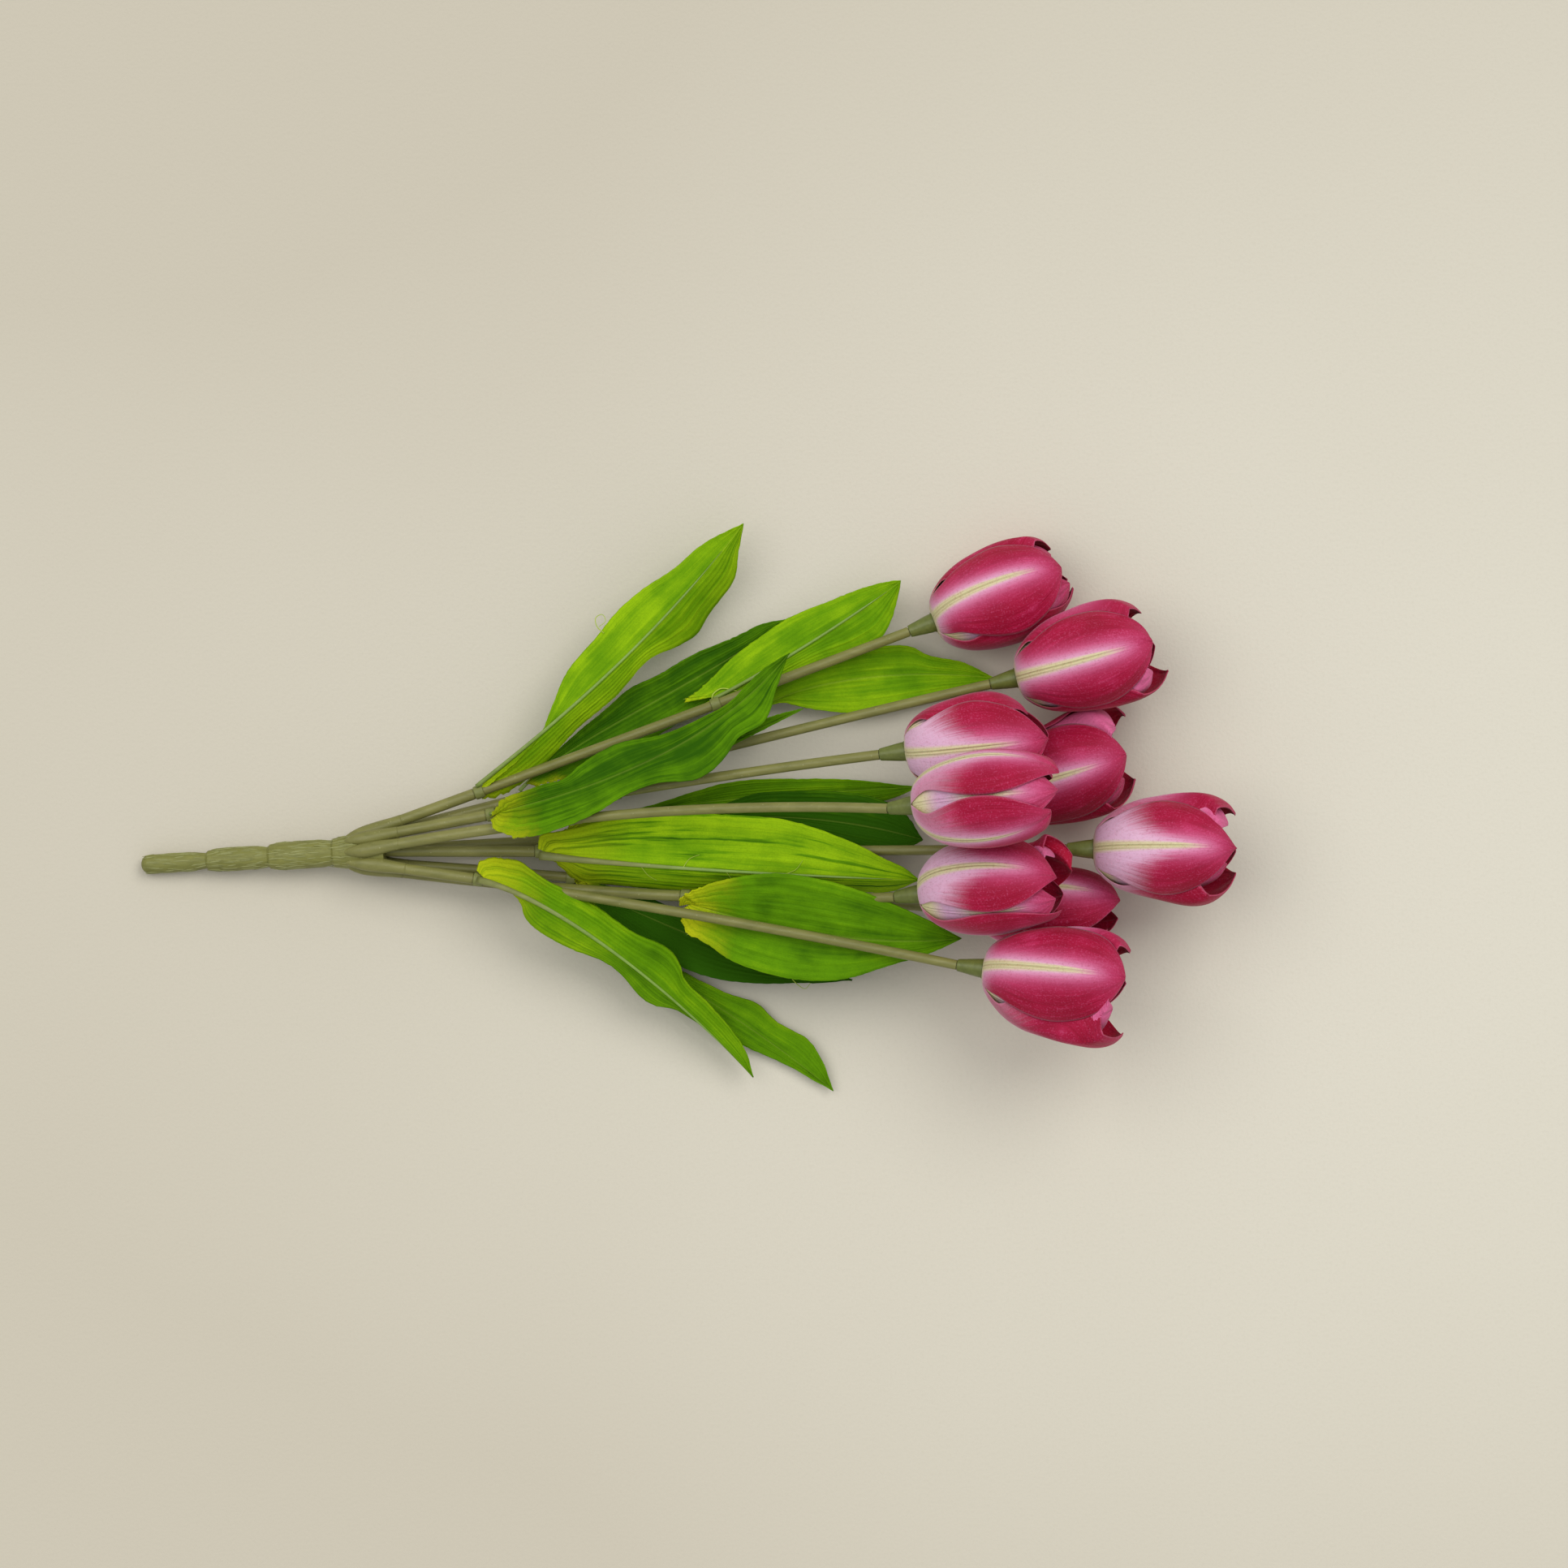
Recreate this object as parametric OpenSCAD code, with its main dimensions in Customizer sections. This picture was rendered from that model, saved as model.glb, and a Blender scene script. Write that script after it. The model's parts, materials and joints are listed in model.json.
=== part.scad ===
// Artificial tulip bush lying on a table, photographed from above.
// A moulded trunk holds nine wire-cored stems; each stem ends in a push-fit fabric tulip.
// +X runs from the trunk tip to the flowers, +Z up from the table, in millimetres.

/* [Bush] */
// Length of the whole bush in plan, from the trunk tip to the farthest petal
bush_len = 451; // [440:1:470]

/* [Trunk] */
// Length of the moulded trunk from its tip to the crown face
trunk_len = 102; // [90:1:115]
// Diameter of the first trunk segment at the tip
tip_d = 7.8; // [6.5:0.1:9]
// Length of the plain round pick at the tip, which goes into a vase's foam
pick_len = 20; // [16:0.5:22]
// Diameter of the last trunk segment below the crown
trunk_d = 13.2; // [12:0.1:14.5]
// Diameter of the crown that the stems come out of
crown_d = 15.2; // [14.6:0.1:16.5]
// Depth of the grooves between the trunk segments
groove_depth = 0.7; // [0.3:0.1:1.2]

/* [Stems] */
// Diameter of a stem from its root to its first shoulder
root_d = 4.6; // [4.4:0.1:4.8]
// Diameter of a stem above its first shoulder
stem_d = 4.1; // [3.9:0.1:4.3]
// Length of stem moulded into the trunk
root_depth = 10; // [7:0.5:13]
// Wall of trunk left between two neighbouring stem roots
slot_web = 0.35; // [0.3:0.05:0.5]
// Diameter of the steel core wire
wire_d = 1.2; // [0.8:0.1:1.6]
// Length of the wire left short of a stem's neck
wire_short = 6; // [3:0.5:12]
// Diameter of the peg that a flower is pushed onto
peg_d = 3; // [2.6:0.1:3.2]
// Length of the peg beyond the neck
peg_len = 8; // [6:0.5:8.5]

/* [Flowers] */
// Length of the petal cup from the sleeve to the petal tips
cup_len = 60; // [54:0.5:63]
// Diameter of the petal cup with its laps
cup_d = 40; // [36:0.5:41]
// Thickness of the petal fabric
petal_t = 0.5; // [0.4:0.05:0.7]
// Radial step between the two edges of a lapped petal
petal_lap = 2; // [1.4:0.1:2.4]
// Radial room from the outer whorl to the inner whorl
whorl_room = 3.5; // [3:0.1:4.5]
// Length of the inner whorl
inner_len = 55; // [48:0.5:58]
// Length of the moulded sleeve under a cup
sleeve_len = 11; // [10:0.5:13]
// Diameter of the sleeve where it meets the stem
sleeve_d = 4.8; // [4.5:0.1:5.2]
// Diameter of the sleeve below its flange
sleeve_top_d = 7.8; // [7:0.1:8.2]
// Diameter of the flange that carries the whorls
flange_d = 8.4; // [7.6:0.1:8.8]
// Thickness of the flange at its rim
flange_t = 0.4; // [0.3:0.05:0.8]
// Diameter of the post through the whorls
post_d = 4; // [3.6:0.1:4.2]
// Diameter of the button that traps the whorls
button_d = 7; // [6:0.1:7.4]
// Thickness of the button
button_t = 1; // [0.8:0.1:1.5]

/* [Leaves] */
// Width of the broadest leaf laid flat
leaf_w = 44; // [38:0.5:46]
// Thickness of the leaf fabric
leaf_t = 0.5; // [0.4:0.05:0.7]
// Width of the moulded rib where it leaves its collar
rib_w = 2.2; // [1.8:0.1:2.4]
// Width of the moulded rib at its far end
rib_end_w = 0.8; // [0.6:0.1:1.2]
// Thickness of the moulded rib where it leaves its collar
rib_t = 1.6; // [1.4:0.1:1.8]
// Thickness of the moulded rib at its far end
rib_end_t = 0.5; // [0.4:0.1:0.8]
// Outside diameter of a leaf's collar
collar_d = 5.6; // [5.4:0.1:6.2]
// Length of a leaf's collar along its stem
collar_len = 4; // [3.5:0.5:6]

/* [Fits] */
// Clearance of a glued joint on every side
glue_fit = 0.05; // [0.04:0.01:0.08]
// Radial clearance of the sleeve on its peg
peg_fit = 0.05; // [0.03:0.01:0.08]
// Gap between a sleeve and the stem's neck
seam_gap = 0.3; // [0.2:0.05:0.4]
// Layer of glue or air between two stacked sheets
sheet_gap = 0.1; // [0.08:0.01:0.2]

/* [Hidden] */
cut_over = 1;
trunk_color = "olivedrab";
stem_color = "darkolivegreen";
leaf_color = "yellowgreen";
petal_color = "mediumvioletred";

// Places read from the photograph, in its pixels, [across, down]: the middle of the bush's box,
// the trunk's tip and the middle of its crown
bush_px = [[848.4, 995.3], [170, 1066], [474, 1047]];
photo_mid = bush_px[0];
tip_px = bush_px[1];
crown_px = bush_px[2];
photo_px_count = 1353;
mm_px = bush_len / photo_px_count;

// Stem table: [slot angle, via px, neck px, aim px]; a slot of -1 is the middle of the crown
stem_px = [
    [90, [760, 913], [1120, 778], [1315, 705]],
    [135, [1000, 895], [1220, 843], [1425, 795]],
    [45, [900, 955], [1083, 930], [1290, 903]],
    [180, [840, 1022], [1182, 983], [1390, 935]],
    [0, [800, 1001], [1093, 996], [1305, 968]],
    [270, [838, 1104], [1102, 1105], [1315, 1077]],
    [-1, [800, 1049], [1313, 1046], [1522, 1045]],
    [225, [840, 1092], [1170, 1120], [1380, 1117]],
    [315, [900, 1135], [1178, 1188], [1391, 1216]]
];
// Heights over the table as shares of the cup diameter
crown_share = 0.35;
via_shares = [0.5, 0.55, 0.9, 0.2, 1.162, 0.5, 0.545, 0.2125, 0.9];
neck_shares = [0.55, 0.81, 1.15, 0.37, 1.925, 1.15, 1.075, 0.433, 1.31];
// How far each flower looks up from the table, in degrees
tilts = [-2, 4, 8, 8.5, 16, 16, 3, 5, 8];
// How each cup is turned about its own axis, in degrees
rolls = [-20, -2, 5, 4, 56, -29, -5, -37, -10];
// Share of a stem that carries no leaf, from its root, where its shoulder is
bare_shoulder_share = 0.42;
// How far the tips of each cup open, as a share of the tip radius
open_shares = [0.12, 0.06, 0.02, 0.06, 0.02, 0.14, 0.04, 0, 0.1];

// Cup profile as shares of its length and of its radius, from the notch between petals up
cup_z_shares = [0.075, 0.19, 0.38, 0.58, 0.77, 0.91, 1];
cup_r_shares = [0.64, 0.85, 0.99, 1, 0.93, 0.78, 0.66];
petal_w_shares = [1, 0.93, 1.08, 1.12, 1, 0.66, 0.12];
petal_lap_shares = [0, 0.5, 1, 1, 1, 0.9, 0.3];
outer_cols = 5;
inner_cols = 4;
petals = 3;

// Leaf table: [stem, share of the stem, second, third and last px, their heights as shares
// of the cup diameter, width share, roll at the collar, roll at the tip, fold in degrees]
leaves = [
    ["a", 0, 0.216, [665, 905], [790, 810], [916, 645], [0.74, 0.88, 0.62], 0.76, 190, 198, 27],
    ["b", 1, 0.253, [690, 915], [850, 850], [975, 760], [0.3, 0.24, 0.2], 0.6, 0, 4, 6],
    ["c", 0, 0.648, [925, 838], [1030, 775], [1110, 716], [0.46, 0.46, 0.44], 0.62, 180, 176, 11],
    ["d", 2, 0.254, [690, 982], [860, 942], [973, 805], [1.15, 1.04, 0.78], 0.66, -24, -14, 12],
    ["e", 1, 0.562, [940, 840], [1090, 820], [1228, 835], [0.2, 0.14, 0.24], 0.6, 0, 0, 5],
    ["f", 2, 0.495, [810, 948], [905, 915], [989, 873], [0.66, 0.66, 0.72], 0.44, 0, 0, 12],
    ["g", 3, 0.347, [765, 992], [950, 978], [1130, 970], [0.05, 0.06, 0.2], 0.56, 0, 0, 4],
    ["i", 3, 0.55, [900, 1003], [1020, 1000], [1137, 1035], [0.38, 0.5, 0.6], 0.52, 0, -6, 10],
    ["j", 6, 0.253, [760, 1066], [980, 1080], [1132, 1084], [0.74, 0.94, 1], 1, 206, 212, 32],
    ["k", 5, 0.6, [890, 1128], [1050, 1172], [1180, 1156], [0.78, 1.08, 1.04], 0.88, 16, 6, 5],
    ["l", 7, 0.353, [770, 1112], [900, 1190], [1050, 1209], [0.22, 0.22, 0.35], 0.52, 0, 0, 6],
    ["m", 8, 0.196, [672, 1100], [820, 1210], [928, 1329], [1.22, 0.68, 0.25], 0.62, 184, 184, 33],
    ["n", 7, 0.243, [690, 1122], [900, 1240], [1027, 1346], [0.09, 0.1, 0.08], 0.46, 0, 0, 4]
];
// Rows along a leaf as shares of its length, with the half width at each
leaf_t_shares = [0, 0.06, 0.12, 0.22, 0.34, 0.46, 0.58, 0.7, 0.82, 0.92, 1];
leaf_w_shares = [0, 0.14, 0.2, 0.5, 0.8, 0.97, 1, 0.9, 0.66, 0.36, 0.03];
leaf_cols = 4;
rib_rows = 7;

// Vector helpers
function unit(v) = v / norm(v);
function flat(rows) = [for (row = rows) each row];
function place(px, height) = [(px[0] - photo_mid[0]) * mm_px, (photo_mid[1] - px[1]) * mm_px, height];
function heading(a, b) = atan2(a[1] - b[1], b[0] - a[0]);
function pointing(yaw, pitch) = [cos(pitch) * cos(yaw), cos(pitch) * sin(yaw), sin(pitch)];

// Puts the children's own X, Y and Z along three given directions
module aligned(origin, x, y, z)
    multmatrix([[x[0], y[0], z[0], origin[0]],
                [x[1], y[1], z[1], origin[1]],
                [x[2], y[2], z[2], origin[2]],
                [0, 0, 0, 1]])
        children();

// Stands the children's own Z along a direction, with their X as near up as it goes
module along(origin, axis) {
    x = unit([0, 0, 1] - axis[2] * axis);
    aligned(origin, x, cross(axis, x), axis) children();
}

// Trunk: its axis rises from the rested tip to the crown
tip_round_share = 0.45;
tip_round = tip_d * tip_round_share;
rest_len = trunk_len - tip_round;
crown_z = crown_share * cup_d;
trunk_pitch = asin(crown_z / norm([rest_len, tip_d / 2])) - atan2(tip_d / 2, rest_len);
trunk_axis = pointing(heading(tip_px, crown_px), trunk_pitch);
trunk_side = unit(cross([0, 0, 1], trunk_axis));
trunk_up = cross(trunk_axis, trunk_side);
crown_at = place(crown_px, crown_z);
ring_shares = [0, 0.27, 0.523, 0.786, 1];
segment_steps = 6;
// Share of a segment left to the groove at each of its ends
ring_inset_share = 0.02;
// Share of the last barrel that the crown face cuts it at
crown_end_share = 0.94;
ring_slots = 8;
slot_ring_r = (root_d + 2 * glue_fit + slot_web) / (2 * sin(180 / ring_slots));

// Radius of one trunk segment: a shallow barrel between two grooves
function segment_d(k) = tip_d + (trunk_d - tip_d) * k / 3;
function barrel_r(k, q) = segment_d(k) / 2 - groove_depth * pow(abs(2 * q - 1), 5)
    + (k == 3 ? (crown_d - trunk_d) / 2 * q * q : 0);
function segment_z(k, q) = trunk_len * (ring_shares[k] + (ring_shares[k + 1] - ring_shares[k]) * q);
trunk_profile = concat(
    [[0, 0], [tip_d / 2 - tip_round, 0]],
    [for (a = [15:15:90]) [tip_d / 2 - tip_round * (1 - sin(a)), tip_round * (1 - cos(a))]],
    [[tip_d / 2, pick_len]],
    [for (k = [0:3]) for (i = [0:segment_steps])
        let (q = i / segment_steps, z = segment_z(k, ring_inset_share + q * (1 - 2 * ring_inset_share)))
        if (z > pick_len) [barrel_r(k, k == 3 ? q * crown_end_share : q), z]],
    [[0, segment_z(3, 1 - ring_inset_share)]]
);

// Stem i is an arc of a circle through its root, its via point and its neck
function stem_root(i) = crown_at - root_depth * trunk_axis + (stem_px[i][0] < 0 ? [0, 0, 0]
    : slot_ring_r * (cos(stem_px[i][0]) * trunk_up + sin(stem_px[i][0]) * trunk_side));
function stem_via(i) = place(stem_px[i][1], via_shares[i] * cup_d);
function stem_neck(i) = place(stem_px[i][2], neck_shares[i] * cup_d);
function head_axis(i) = pointing(heading(stem_px[i][2], stem_px[i][3]), tilts[i]);
function arc_centre(a, m, b) = let (u = m - a, v = b - a, w = cross(u, v))
    a + (cross(w, u) * (v * v) + cross(v, w) * (u * u)) / (2 * (w * w));
// An arc is [centre, radius, direction from the neck to the centre, end tangent, whole angle]
function arc_of(a, m, b) = let (c = arc_centre(a, m, b), r = norm(b - c), n = (c - b) / r,
        side = unit(cross(cross(m - a, b - a), n)), t = side * (b - m) < 0 ? -side : side)
    [c, r, n, t, 2 * asin(norm(b - a) / (2 * r))];
arcs = [for (i = [0:8]) arc_of(stem_root(i), stem_via(i), stem_neck(i))];
function arc_turn(arc, share) = arc[4] * (1 - share);
function arc_point(arc, share) = let (a = arc_turn(arc, share))
    arc[0] - arc[1] * (arc[2] * cos(a) + arc[3] * sin(a));
function arc_tangent(arc, share) = let (a = arc_turn(arc, share)) arc[3] * cos(a) - arc[2] * sin(a);
function arc_len(arc) = arc[1] * arc[4] * PI / 180;

arc_steps = 24;

// A stem steps down to its thinner part just before its first leaf's collar
function leaf_places(i) = [for (leaf = leaves) if (leaf[1] == i) leaf[2]];
function shoulder_share(i) = let (places = leaf_places(i)) len(places) == 0 ? bare_shoulder_share
    : min(places) - (collar_len / 2 + seam_gap) / arc_len(arcs[i]);

// A round bar along an arc between two shares of it, run on by a length at each end
module arc_bar(arc, radius, from_share, to_share, root_more = 0, neck_more = 0) {
    start = arc_turn(arc, to_share) - neck_more / arc[1] * 180 / PI;
    stop = arc_turn(arc, from_share) + root_more / arc[1] * 180 / PI;
    aligned(arc[0], -arc[2], -arc[3], cross(arc[2], arc[3]))
        rotate([0, 0, start])
            rotate_extrude(angle = stop - start, $fn = arc_steps * 360 / (stop - start))
                translate([arc[1], 0]) circle(radius, $fn = 32);
}

module trunk() {
    color(trunk_color) difference() {
        aligned(crown_at - trunk_len * trunk_axis, trunk_up, trunk_side, trunk_axis)
            rotate_extrude($fn = 64) polygon(trunk_profile);
        for (i = [0:8])
            arc_bar(arcs[i], root_d / 2 + glue_fit, 0, shoulder_share(i) / 2, root_more = seam_gap);
    }
}

peg_sunk = peg_len / 4;
module stem(i) {
    arc = arcs[i];
    color(stem_color) difference() {
        union() {
            arc_bar(arc, root_d / 2, 0, shoulder_share(i));
            arc_bar(arc, stem_d / 2, shoulder_share(i) / 2, 1);
            along(stem_neck(i) - peg_sunk * head_axis(i), head_axis(i))
                cylinder(h = peg_sunk + peg_len, d = peg_d, $fn = 32);
        }
        arc_bar(arc, wire_d / 2 + glue_fit, 0, 1 - wire_short / 2 / arc_len(arc), root_more = cut_over);
    }
}

module core_wires() {
    color("silver") for (arc = arcs)
        arc_bar(arc, wire_d / 2, 0, 1 - wire_short / arc_len(arc));
}

// Flower: heights along its own axis, counted from the neck
whorl_z = sleeve_len + sheet_gap / 2;
inner_z = whorl_z + petal_t + sheet_gap;
button_z = inner_z + petal_t + sheet_gap;
bore_z = seam_gap + peg_len;
// A slight bell: a taper that swells a little below the flange
bell_shares = [0, 0.04, 0.3, 0.6, 0.85, 0.96];
bell_flare_shares = [0, 0.1, 0.38, 0.72, 0.96, 1];
sleeve_profile = concat(
    [[peg_d / 2 + peg_fit, seam_gap]],
    [for (k = [0:len(bell_shares) - 1])
        [(sleeve_d + (sleeve_top_d - sleeve_d) * bell_flare_shares[k]) / 2,
         seam_gap + (sleeve_len - seam_gap) * bell_shares[k]]],
    [[flange_d / 2, sleeve_len - flange_t], [flange_d / 2, sleeve_len],
     [post_d / 2, sleeve_len], [post_d / 2, button_z], [button_d / 2, button_z],
     [button_d / 2, button_z + button_t / 2], [button_d / 2 - button_t / 2, button_z + button_t],
     [0, button_z + button_t], [0, bore_z], [peg_d / 2 + peg_fit, bore_z]]
);

module head_sleeve(i) {
    color(stem_color) along(stem_neck(i), head_axis(i))
        rotate_extrude($fn = 48) polygon(sleeve_profile);
}

// Sheets: a is the outer face and b the inner one, rows run up and columns run anticlockwise
function quad(p, q, r, s) = [[p, q, r], [p, r, s]];

hole_r = post_d / 2 + 2 * peg_fit + sheet_gap;
seat_r = flange_d / 2 + petal_t;

// Profile rows of a whorl: hole edge, edge of its flat seat, then the rows of its petals
function whorl_rows(len, r, open) = concat([[hole_r, 0], [seat_r, 0]],
    [for (k = [0:len(cup_z_shares) - 1]) let (up = max(0, cup_z_shares[k] - cup_z_shares[2]))
        [r * cup_r_shares[k] * (1 + open * pow(up / (1 - cup_z_shares[2]), 2)), len * cup_z_shares[k]]]);
function row_inward(rows, k) =
    let (d = unit(rows[min(k + 1, len(rows) - 1)] - rows[max(k - 1, 0)])) [-d[1], d[0]];
function inset(rows) = [for (k = [0:len(rows) - 1]) rows[k] + petal_t * row_inward(rows, k)];
function ring_angle(c, cols) = -60 + 120 * c / cols;
function ring_row(row, cols) = [for (c = [0:petals * cols - 1])
    [row[0] * cos(ring_angle(c, cols)), row[0] * sin(ring_angle(c, cols)), row[1]]];
function petal_row(row, k, p, cols) = [for (c = [0:cols])
    let (u = 2 * c / cols - 1, a = 120 * p + 60 * u * petal_w_shares[k],
         r = row[0] + petal_lap / 2 * u * petal_lap_shares[k])
    [r * cos(a), r * sin(a), row[1]]];

// One whorl of three lapped petals on a common seat, as one closed sheet
module whorl(whorl_len, r, open, cols) {
    outer = whorl_rows(whorl_len, r - petal_lap / 2, open);
    inner = inset(outer);
    last = len(cup_z_shares) - 1;
    around = petals * cols;
    ring_points = concat([for (k = [0:2]) each ring_row(outer[k], cols)],
                         [for (k = [0:2]) each ring_row(inner[k], cols)]);
    petal_points = [for (side = [outer, inner]) for (p = [0:petals - 1]) for (k = [1:last])
        each petal_row(side[k + 2], k, p, cols)];
    // Index of a point: side 0 is the outer face and side 1 the inner one
    function at_ring(side, k, c) = (side * 3 + k) * around + c % around;
    function at_petal(side, p, k, c) = k == 0 ? at_ring(side, 2, p * cols + c)
        : 6 * around + ((side * petals + p) * last + k - 1) * (cols + 1) + c;
    ring_faces = [for (k = [0:1]) for (c = [0:around - 1]) each concat(
        quad(at_ring(0, k, c), at_ring(0, k + 1, c), at_ring(0, k + 1, c + 1), at_ring(0, k, c + 1)),
        quad(at_ring(1, k, c), at_ring(1, k, c + 1), at_ring(1, k + 1, c + 1), at_ring(1, k + 1, c)))];
    hole_faces = [for (c = [0:around - 1]) each
        quad(at_ring(0, 0, c), at_ring(0, 0, c + 1), at_ring(1, 0, c + 1), at_ring(1, 0, c))];
    petal_faces = [for (p = [0:petals - 1]) for (k = [0:last - 1]) for (c = [0:cols - 1]) each concat(
        quad(at_petal(0, p, k, c), at_petal(0, p, k + 1, c), at_petal(0, p, k + 1, c + 1),
             at_petal(0, p, k, c + 1)),
        quad(at_petal(1, p, k, c), at_petal(1, p, k, c + 1), at_petal(1, p, k + 1, c + 1),
             at_petal(1, p, k + 1, c)))];
    edge_faces = [for (p = [0:petals - 1]) for (k = [0:last - 1]) each concat(
        quad(at_petal(0, p, k + 1, 0), at_petal(0, p, k, 0), at_petal(1, p, k, 0), at_petal(1, p, k + 1, 0)),
        quad(at_petal(0, p, k, cols), at_petal(0, p, k + 1, cols), at_petal(1, p, k + 1, cols),
             at_petal(1, p, k, cols)))];
    tip_faces = [for (p = [0:petals - 1]) for (c = [0:cols - 1]) each
        quad(at_petal(0, p, last, c + 1), at_petal(0, p, last, c), at_petal(1, p, last, c),
             at_petal(1, p, last, c + 1))];
    polyhedron(concat(ring_points, petal_points),
               concat(ring_faces, hole_faces, petal_faces, edge_faces, tip_faces));
}

module outer_petals(i) {
    color(petal_color) along(stem_neck(i), head_axis(i)) translate([0, 0, whorl_z]) rotate(rolls[i])
        whorl(cup_len, cup_d / 2, open_shares[i], outer_cols);
}

module inner_petals(i) {
    color("crimson") along(stem_neck(i), head_axis(i)) translate([0, 0, inner_z]) rotate(rolls[i] + 60)
        whorl(inner_len, cup_d / 2 - whorl_room, open_shares[i], inner_cols);
}

// Leaf: its rib follows a curve of four points, the first beside the stem at its collar
rib_off = collar_d / 2 + rib_t / 4;
function collar_point(leaf) = arc_point(arcs[leaf[1]], leaf[2]);
function collar_axis(leaf) = arc_tangent(arcs[leaf[1]], leaf[2]);
function leaf_knot(leaf, k) = place(leaf[2 + k], leaf[6][k - 1] * cup_d);
function leaf_start(leaf) = let (t = collar_axis(leaf), d = leaf_knot(leaf, 1) - collar_point(leaf))
    collar_point(leaf) + rib_off * unit(d - (d * t) * t);
function curve_point(p, t) = pow(1 - t, 3) * p[0] + 3 * t * pow(1 - t, 2) * p[1]
    + 3 * t * t * (1 - t) * p[2] + pow(t, 3) * p[3];
function curve_tangent(p, t) = unit(pow(1 - t, 2) * (p[1] - p[0]) + 2 * t * (1 - t) * (p[2] - p[1])
    + t * t * (p[3] - p[2]));
function leaf_curve(leaf) = [leaf_start(leaf), leaf_knot(leaf, 1), leaf_knot(leaf, 2), leaf_knot(leaf, 3)];
// Frame of a leaf at t: [point, across, out of the face that carries no rib]
function leaf_frame(leaf, curve, t) =
    let (along_t = curve_tangent(curve, t), across = unit(cross([0, 0, 1], along_t)),
         out = cross(along_t, across), roll = leaf[8] + (leaf[9] - leaf[8]) * t)
    [curve_point(curve, t), across * cos(roll) + out * sin(roll), out * cos(roll) - across * sin(roll)];
function rib_t_at(k) = rib_t + (rib_end_t - rib_t) * min(1, k / 3);
function rib_w_at(k) = rib_w + (rib_end_w - rib_w) * k / rib_rows;

// A closed sheet of rows and columns with its two faces given as lists of rows
function sheet_faces(rows, cols) = let (size = rows * (cols + 1))
    concat(
        [for (j = [0:rows - 2]) for (c = [0:cols - 1]) let (a = j * (cols + 1) + c, up = cols + 1) each concat(
            quad(a, a + up, a + up + 1, a + 1),
            quad(size + a, size + a + 1, size + a + up + 1, size + a + up))],
        [for (j = [0:rows - 2]) let (a = j * (cols + 1), up = cols + 1) each concat(
            quad(a + up, a, size + a, size + a + up),
            quad(a + cols, a + cols + up, size + a + cols + up, size + a + cols))],
        [for (c = [0:cols - 1]) let (top = (rows - 1) * (cols + 1) + c) each concat(
            quad(c, c + 1, size + c + 1, size + c),
            quad(top + 1, top, size + top, size + top + 1))]);

module leaf_blade(leaf) {
    curve = leaf_curve(leaf);
    half_w = leaf_w / 2 * leaf[7];
    fold = leaf[10];
    rows = len(leaf_t_shares) - 1;
    // The blade lies on the rib, one sheet gap off its face
    function blade_row(k, face) = let (f = leaf_frame(leaf, curve, leaf_t_shares[k]),
            lift = rib_t_at(min(k, rib_rows)) / 2 + sheet_gap + face * leaf_t)
        [for (c = [0:leaf_cols]) let (u = 2 * c / leaf_cols - 1, w = half_w * leaf_w_shares[k])
            f[0] + f[1] * (u * w * cos(fold)) + f[2] * (abs(u) * w * sin(fold) + lift)];
    color(leaf_color) polyhedron(
        [for (face = [0, 1]) for (k = [1:rows]) each blade_row(k, face)],
        sheet_faces(rows, leaf_cols));
}

module leaf_rib(leaf) {
    curve = leaf_curve(leaf);
    function rib_edge(k, side) = let (f = leaf_frame(leaf, curve, leaf_t_shares[k]))
        [for (u = [-1, 1]) f[0] + f[1] * (u * rib_w_at(k) / 2) + f[2] * (side * rib_t_at(k) / 2)];
    difference() {
        union() {
            along(collar_point(leaf), collar_axis(leaf))
                cylinder(h = collar_len, d = collar_d, center = true, $fn = 32);
            polyhedron([for (side = [-1, 1]) for (k = [0:rib_rows]) each rib_edge(k, side)],
                       sheet_faces(rib_rows + 1, 1));
        }
        along(collar_point(leaf), collar_axis(leaf))
            cylinder(h = collar_len + 2 * cut_over, d = stem_d + 2 * glue_fit, center = true, $fn = 32);
    }
}

module leaf_spines() {
    color("darkkhaki") for (leaf = leaves) leaf_rib(leaf);
}

trunk();
for (i = [0:8]) stem(i);
core_wires();
for (i = [0:8]) head_sleeve(i);
for (i = [0:8]) outer_petals(i);
for (i = [0:8]) inner_petals(i);
for (leaf = leaves) leaf_blade(leaf);
leaf_spines();
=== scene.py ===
import json
import math

import bpy
import numpy as np
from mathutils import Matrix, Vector


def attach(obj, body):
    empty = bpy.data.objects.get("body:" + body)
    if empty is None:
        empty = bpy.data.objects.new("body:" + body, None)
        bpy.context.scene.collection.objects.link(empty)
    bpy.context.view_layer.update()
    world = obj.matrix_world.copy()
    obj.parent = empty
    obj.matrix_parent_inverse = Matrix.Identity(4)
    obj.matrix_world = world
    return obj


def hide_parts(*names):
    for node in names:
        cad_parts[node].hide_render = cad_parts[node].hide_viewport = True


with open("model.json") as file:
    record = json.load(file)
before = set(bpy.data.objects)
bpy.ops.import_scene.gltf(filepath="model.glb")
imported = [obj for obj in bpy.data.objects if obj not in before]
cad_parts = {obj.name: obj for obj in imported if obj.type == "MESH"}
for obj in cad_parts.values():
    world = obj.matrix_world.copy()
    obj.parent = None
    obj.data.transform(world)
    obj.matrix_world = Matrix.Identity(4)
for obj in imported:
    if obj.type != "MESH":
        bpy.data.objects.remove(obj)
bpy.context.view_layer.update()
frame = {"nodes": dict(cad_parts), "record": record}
joints = {joint["child"]: joint for joint in frame["record"]["behaviour"]["joints"]}
print("frame loaded:", len(frame["nodes"]), "nodes,", len(joints), "turning flowers")

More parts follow.
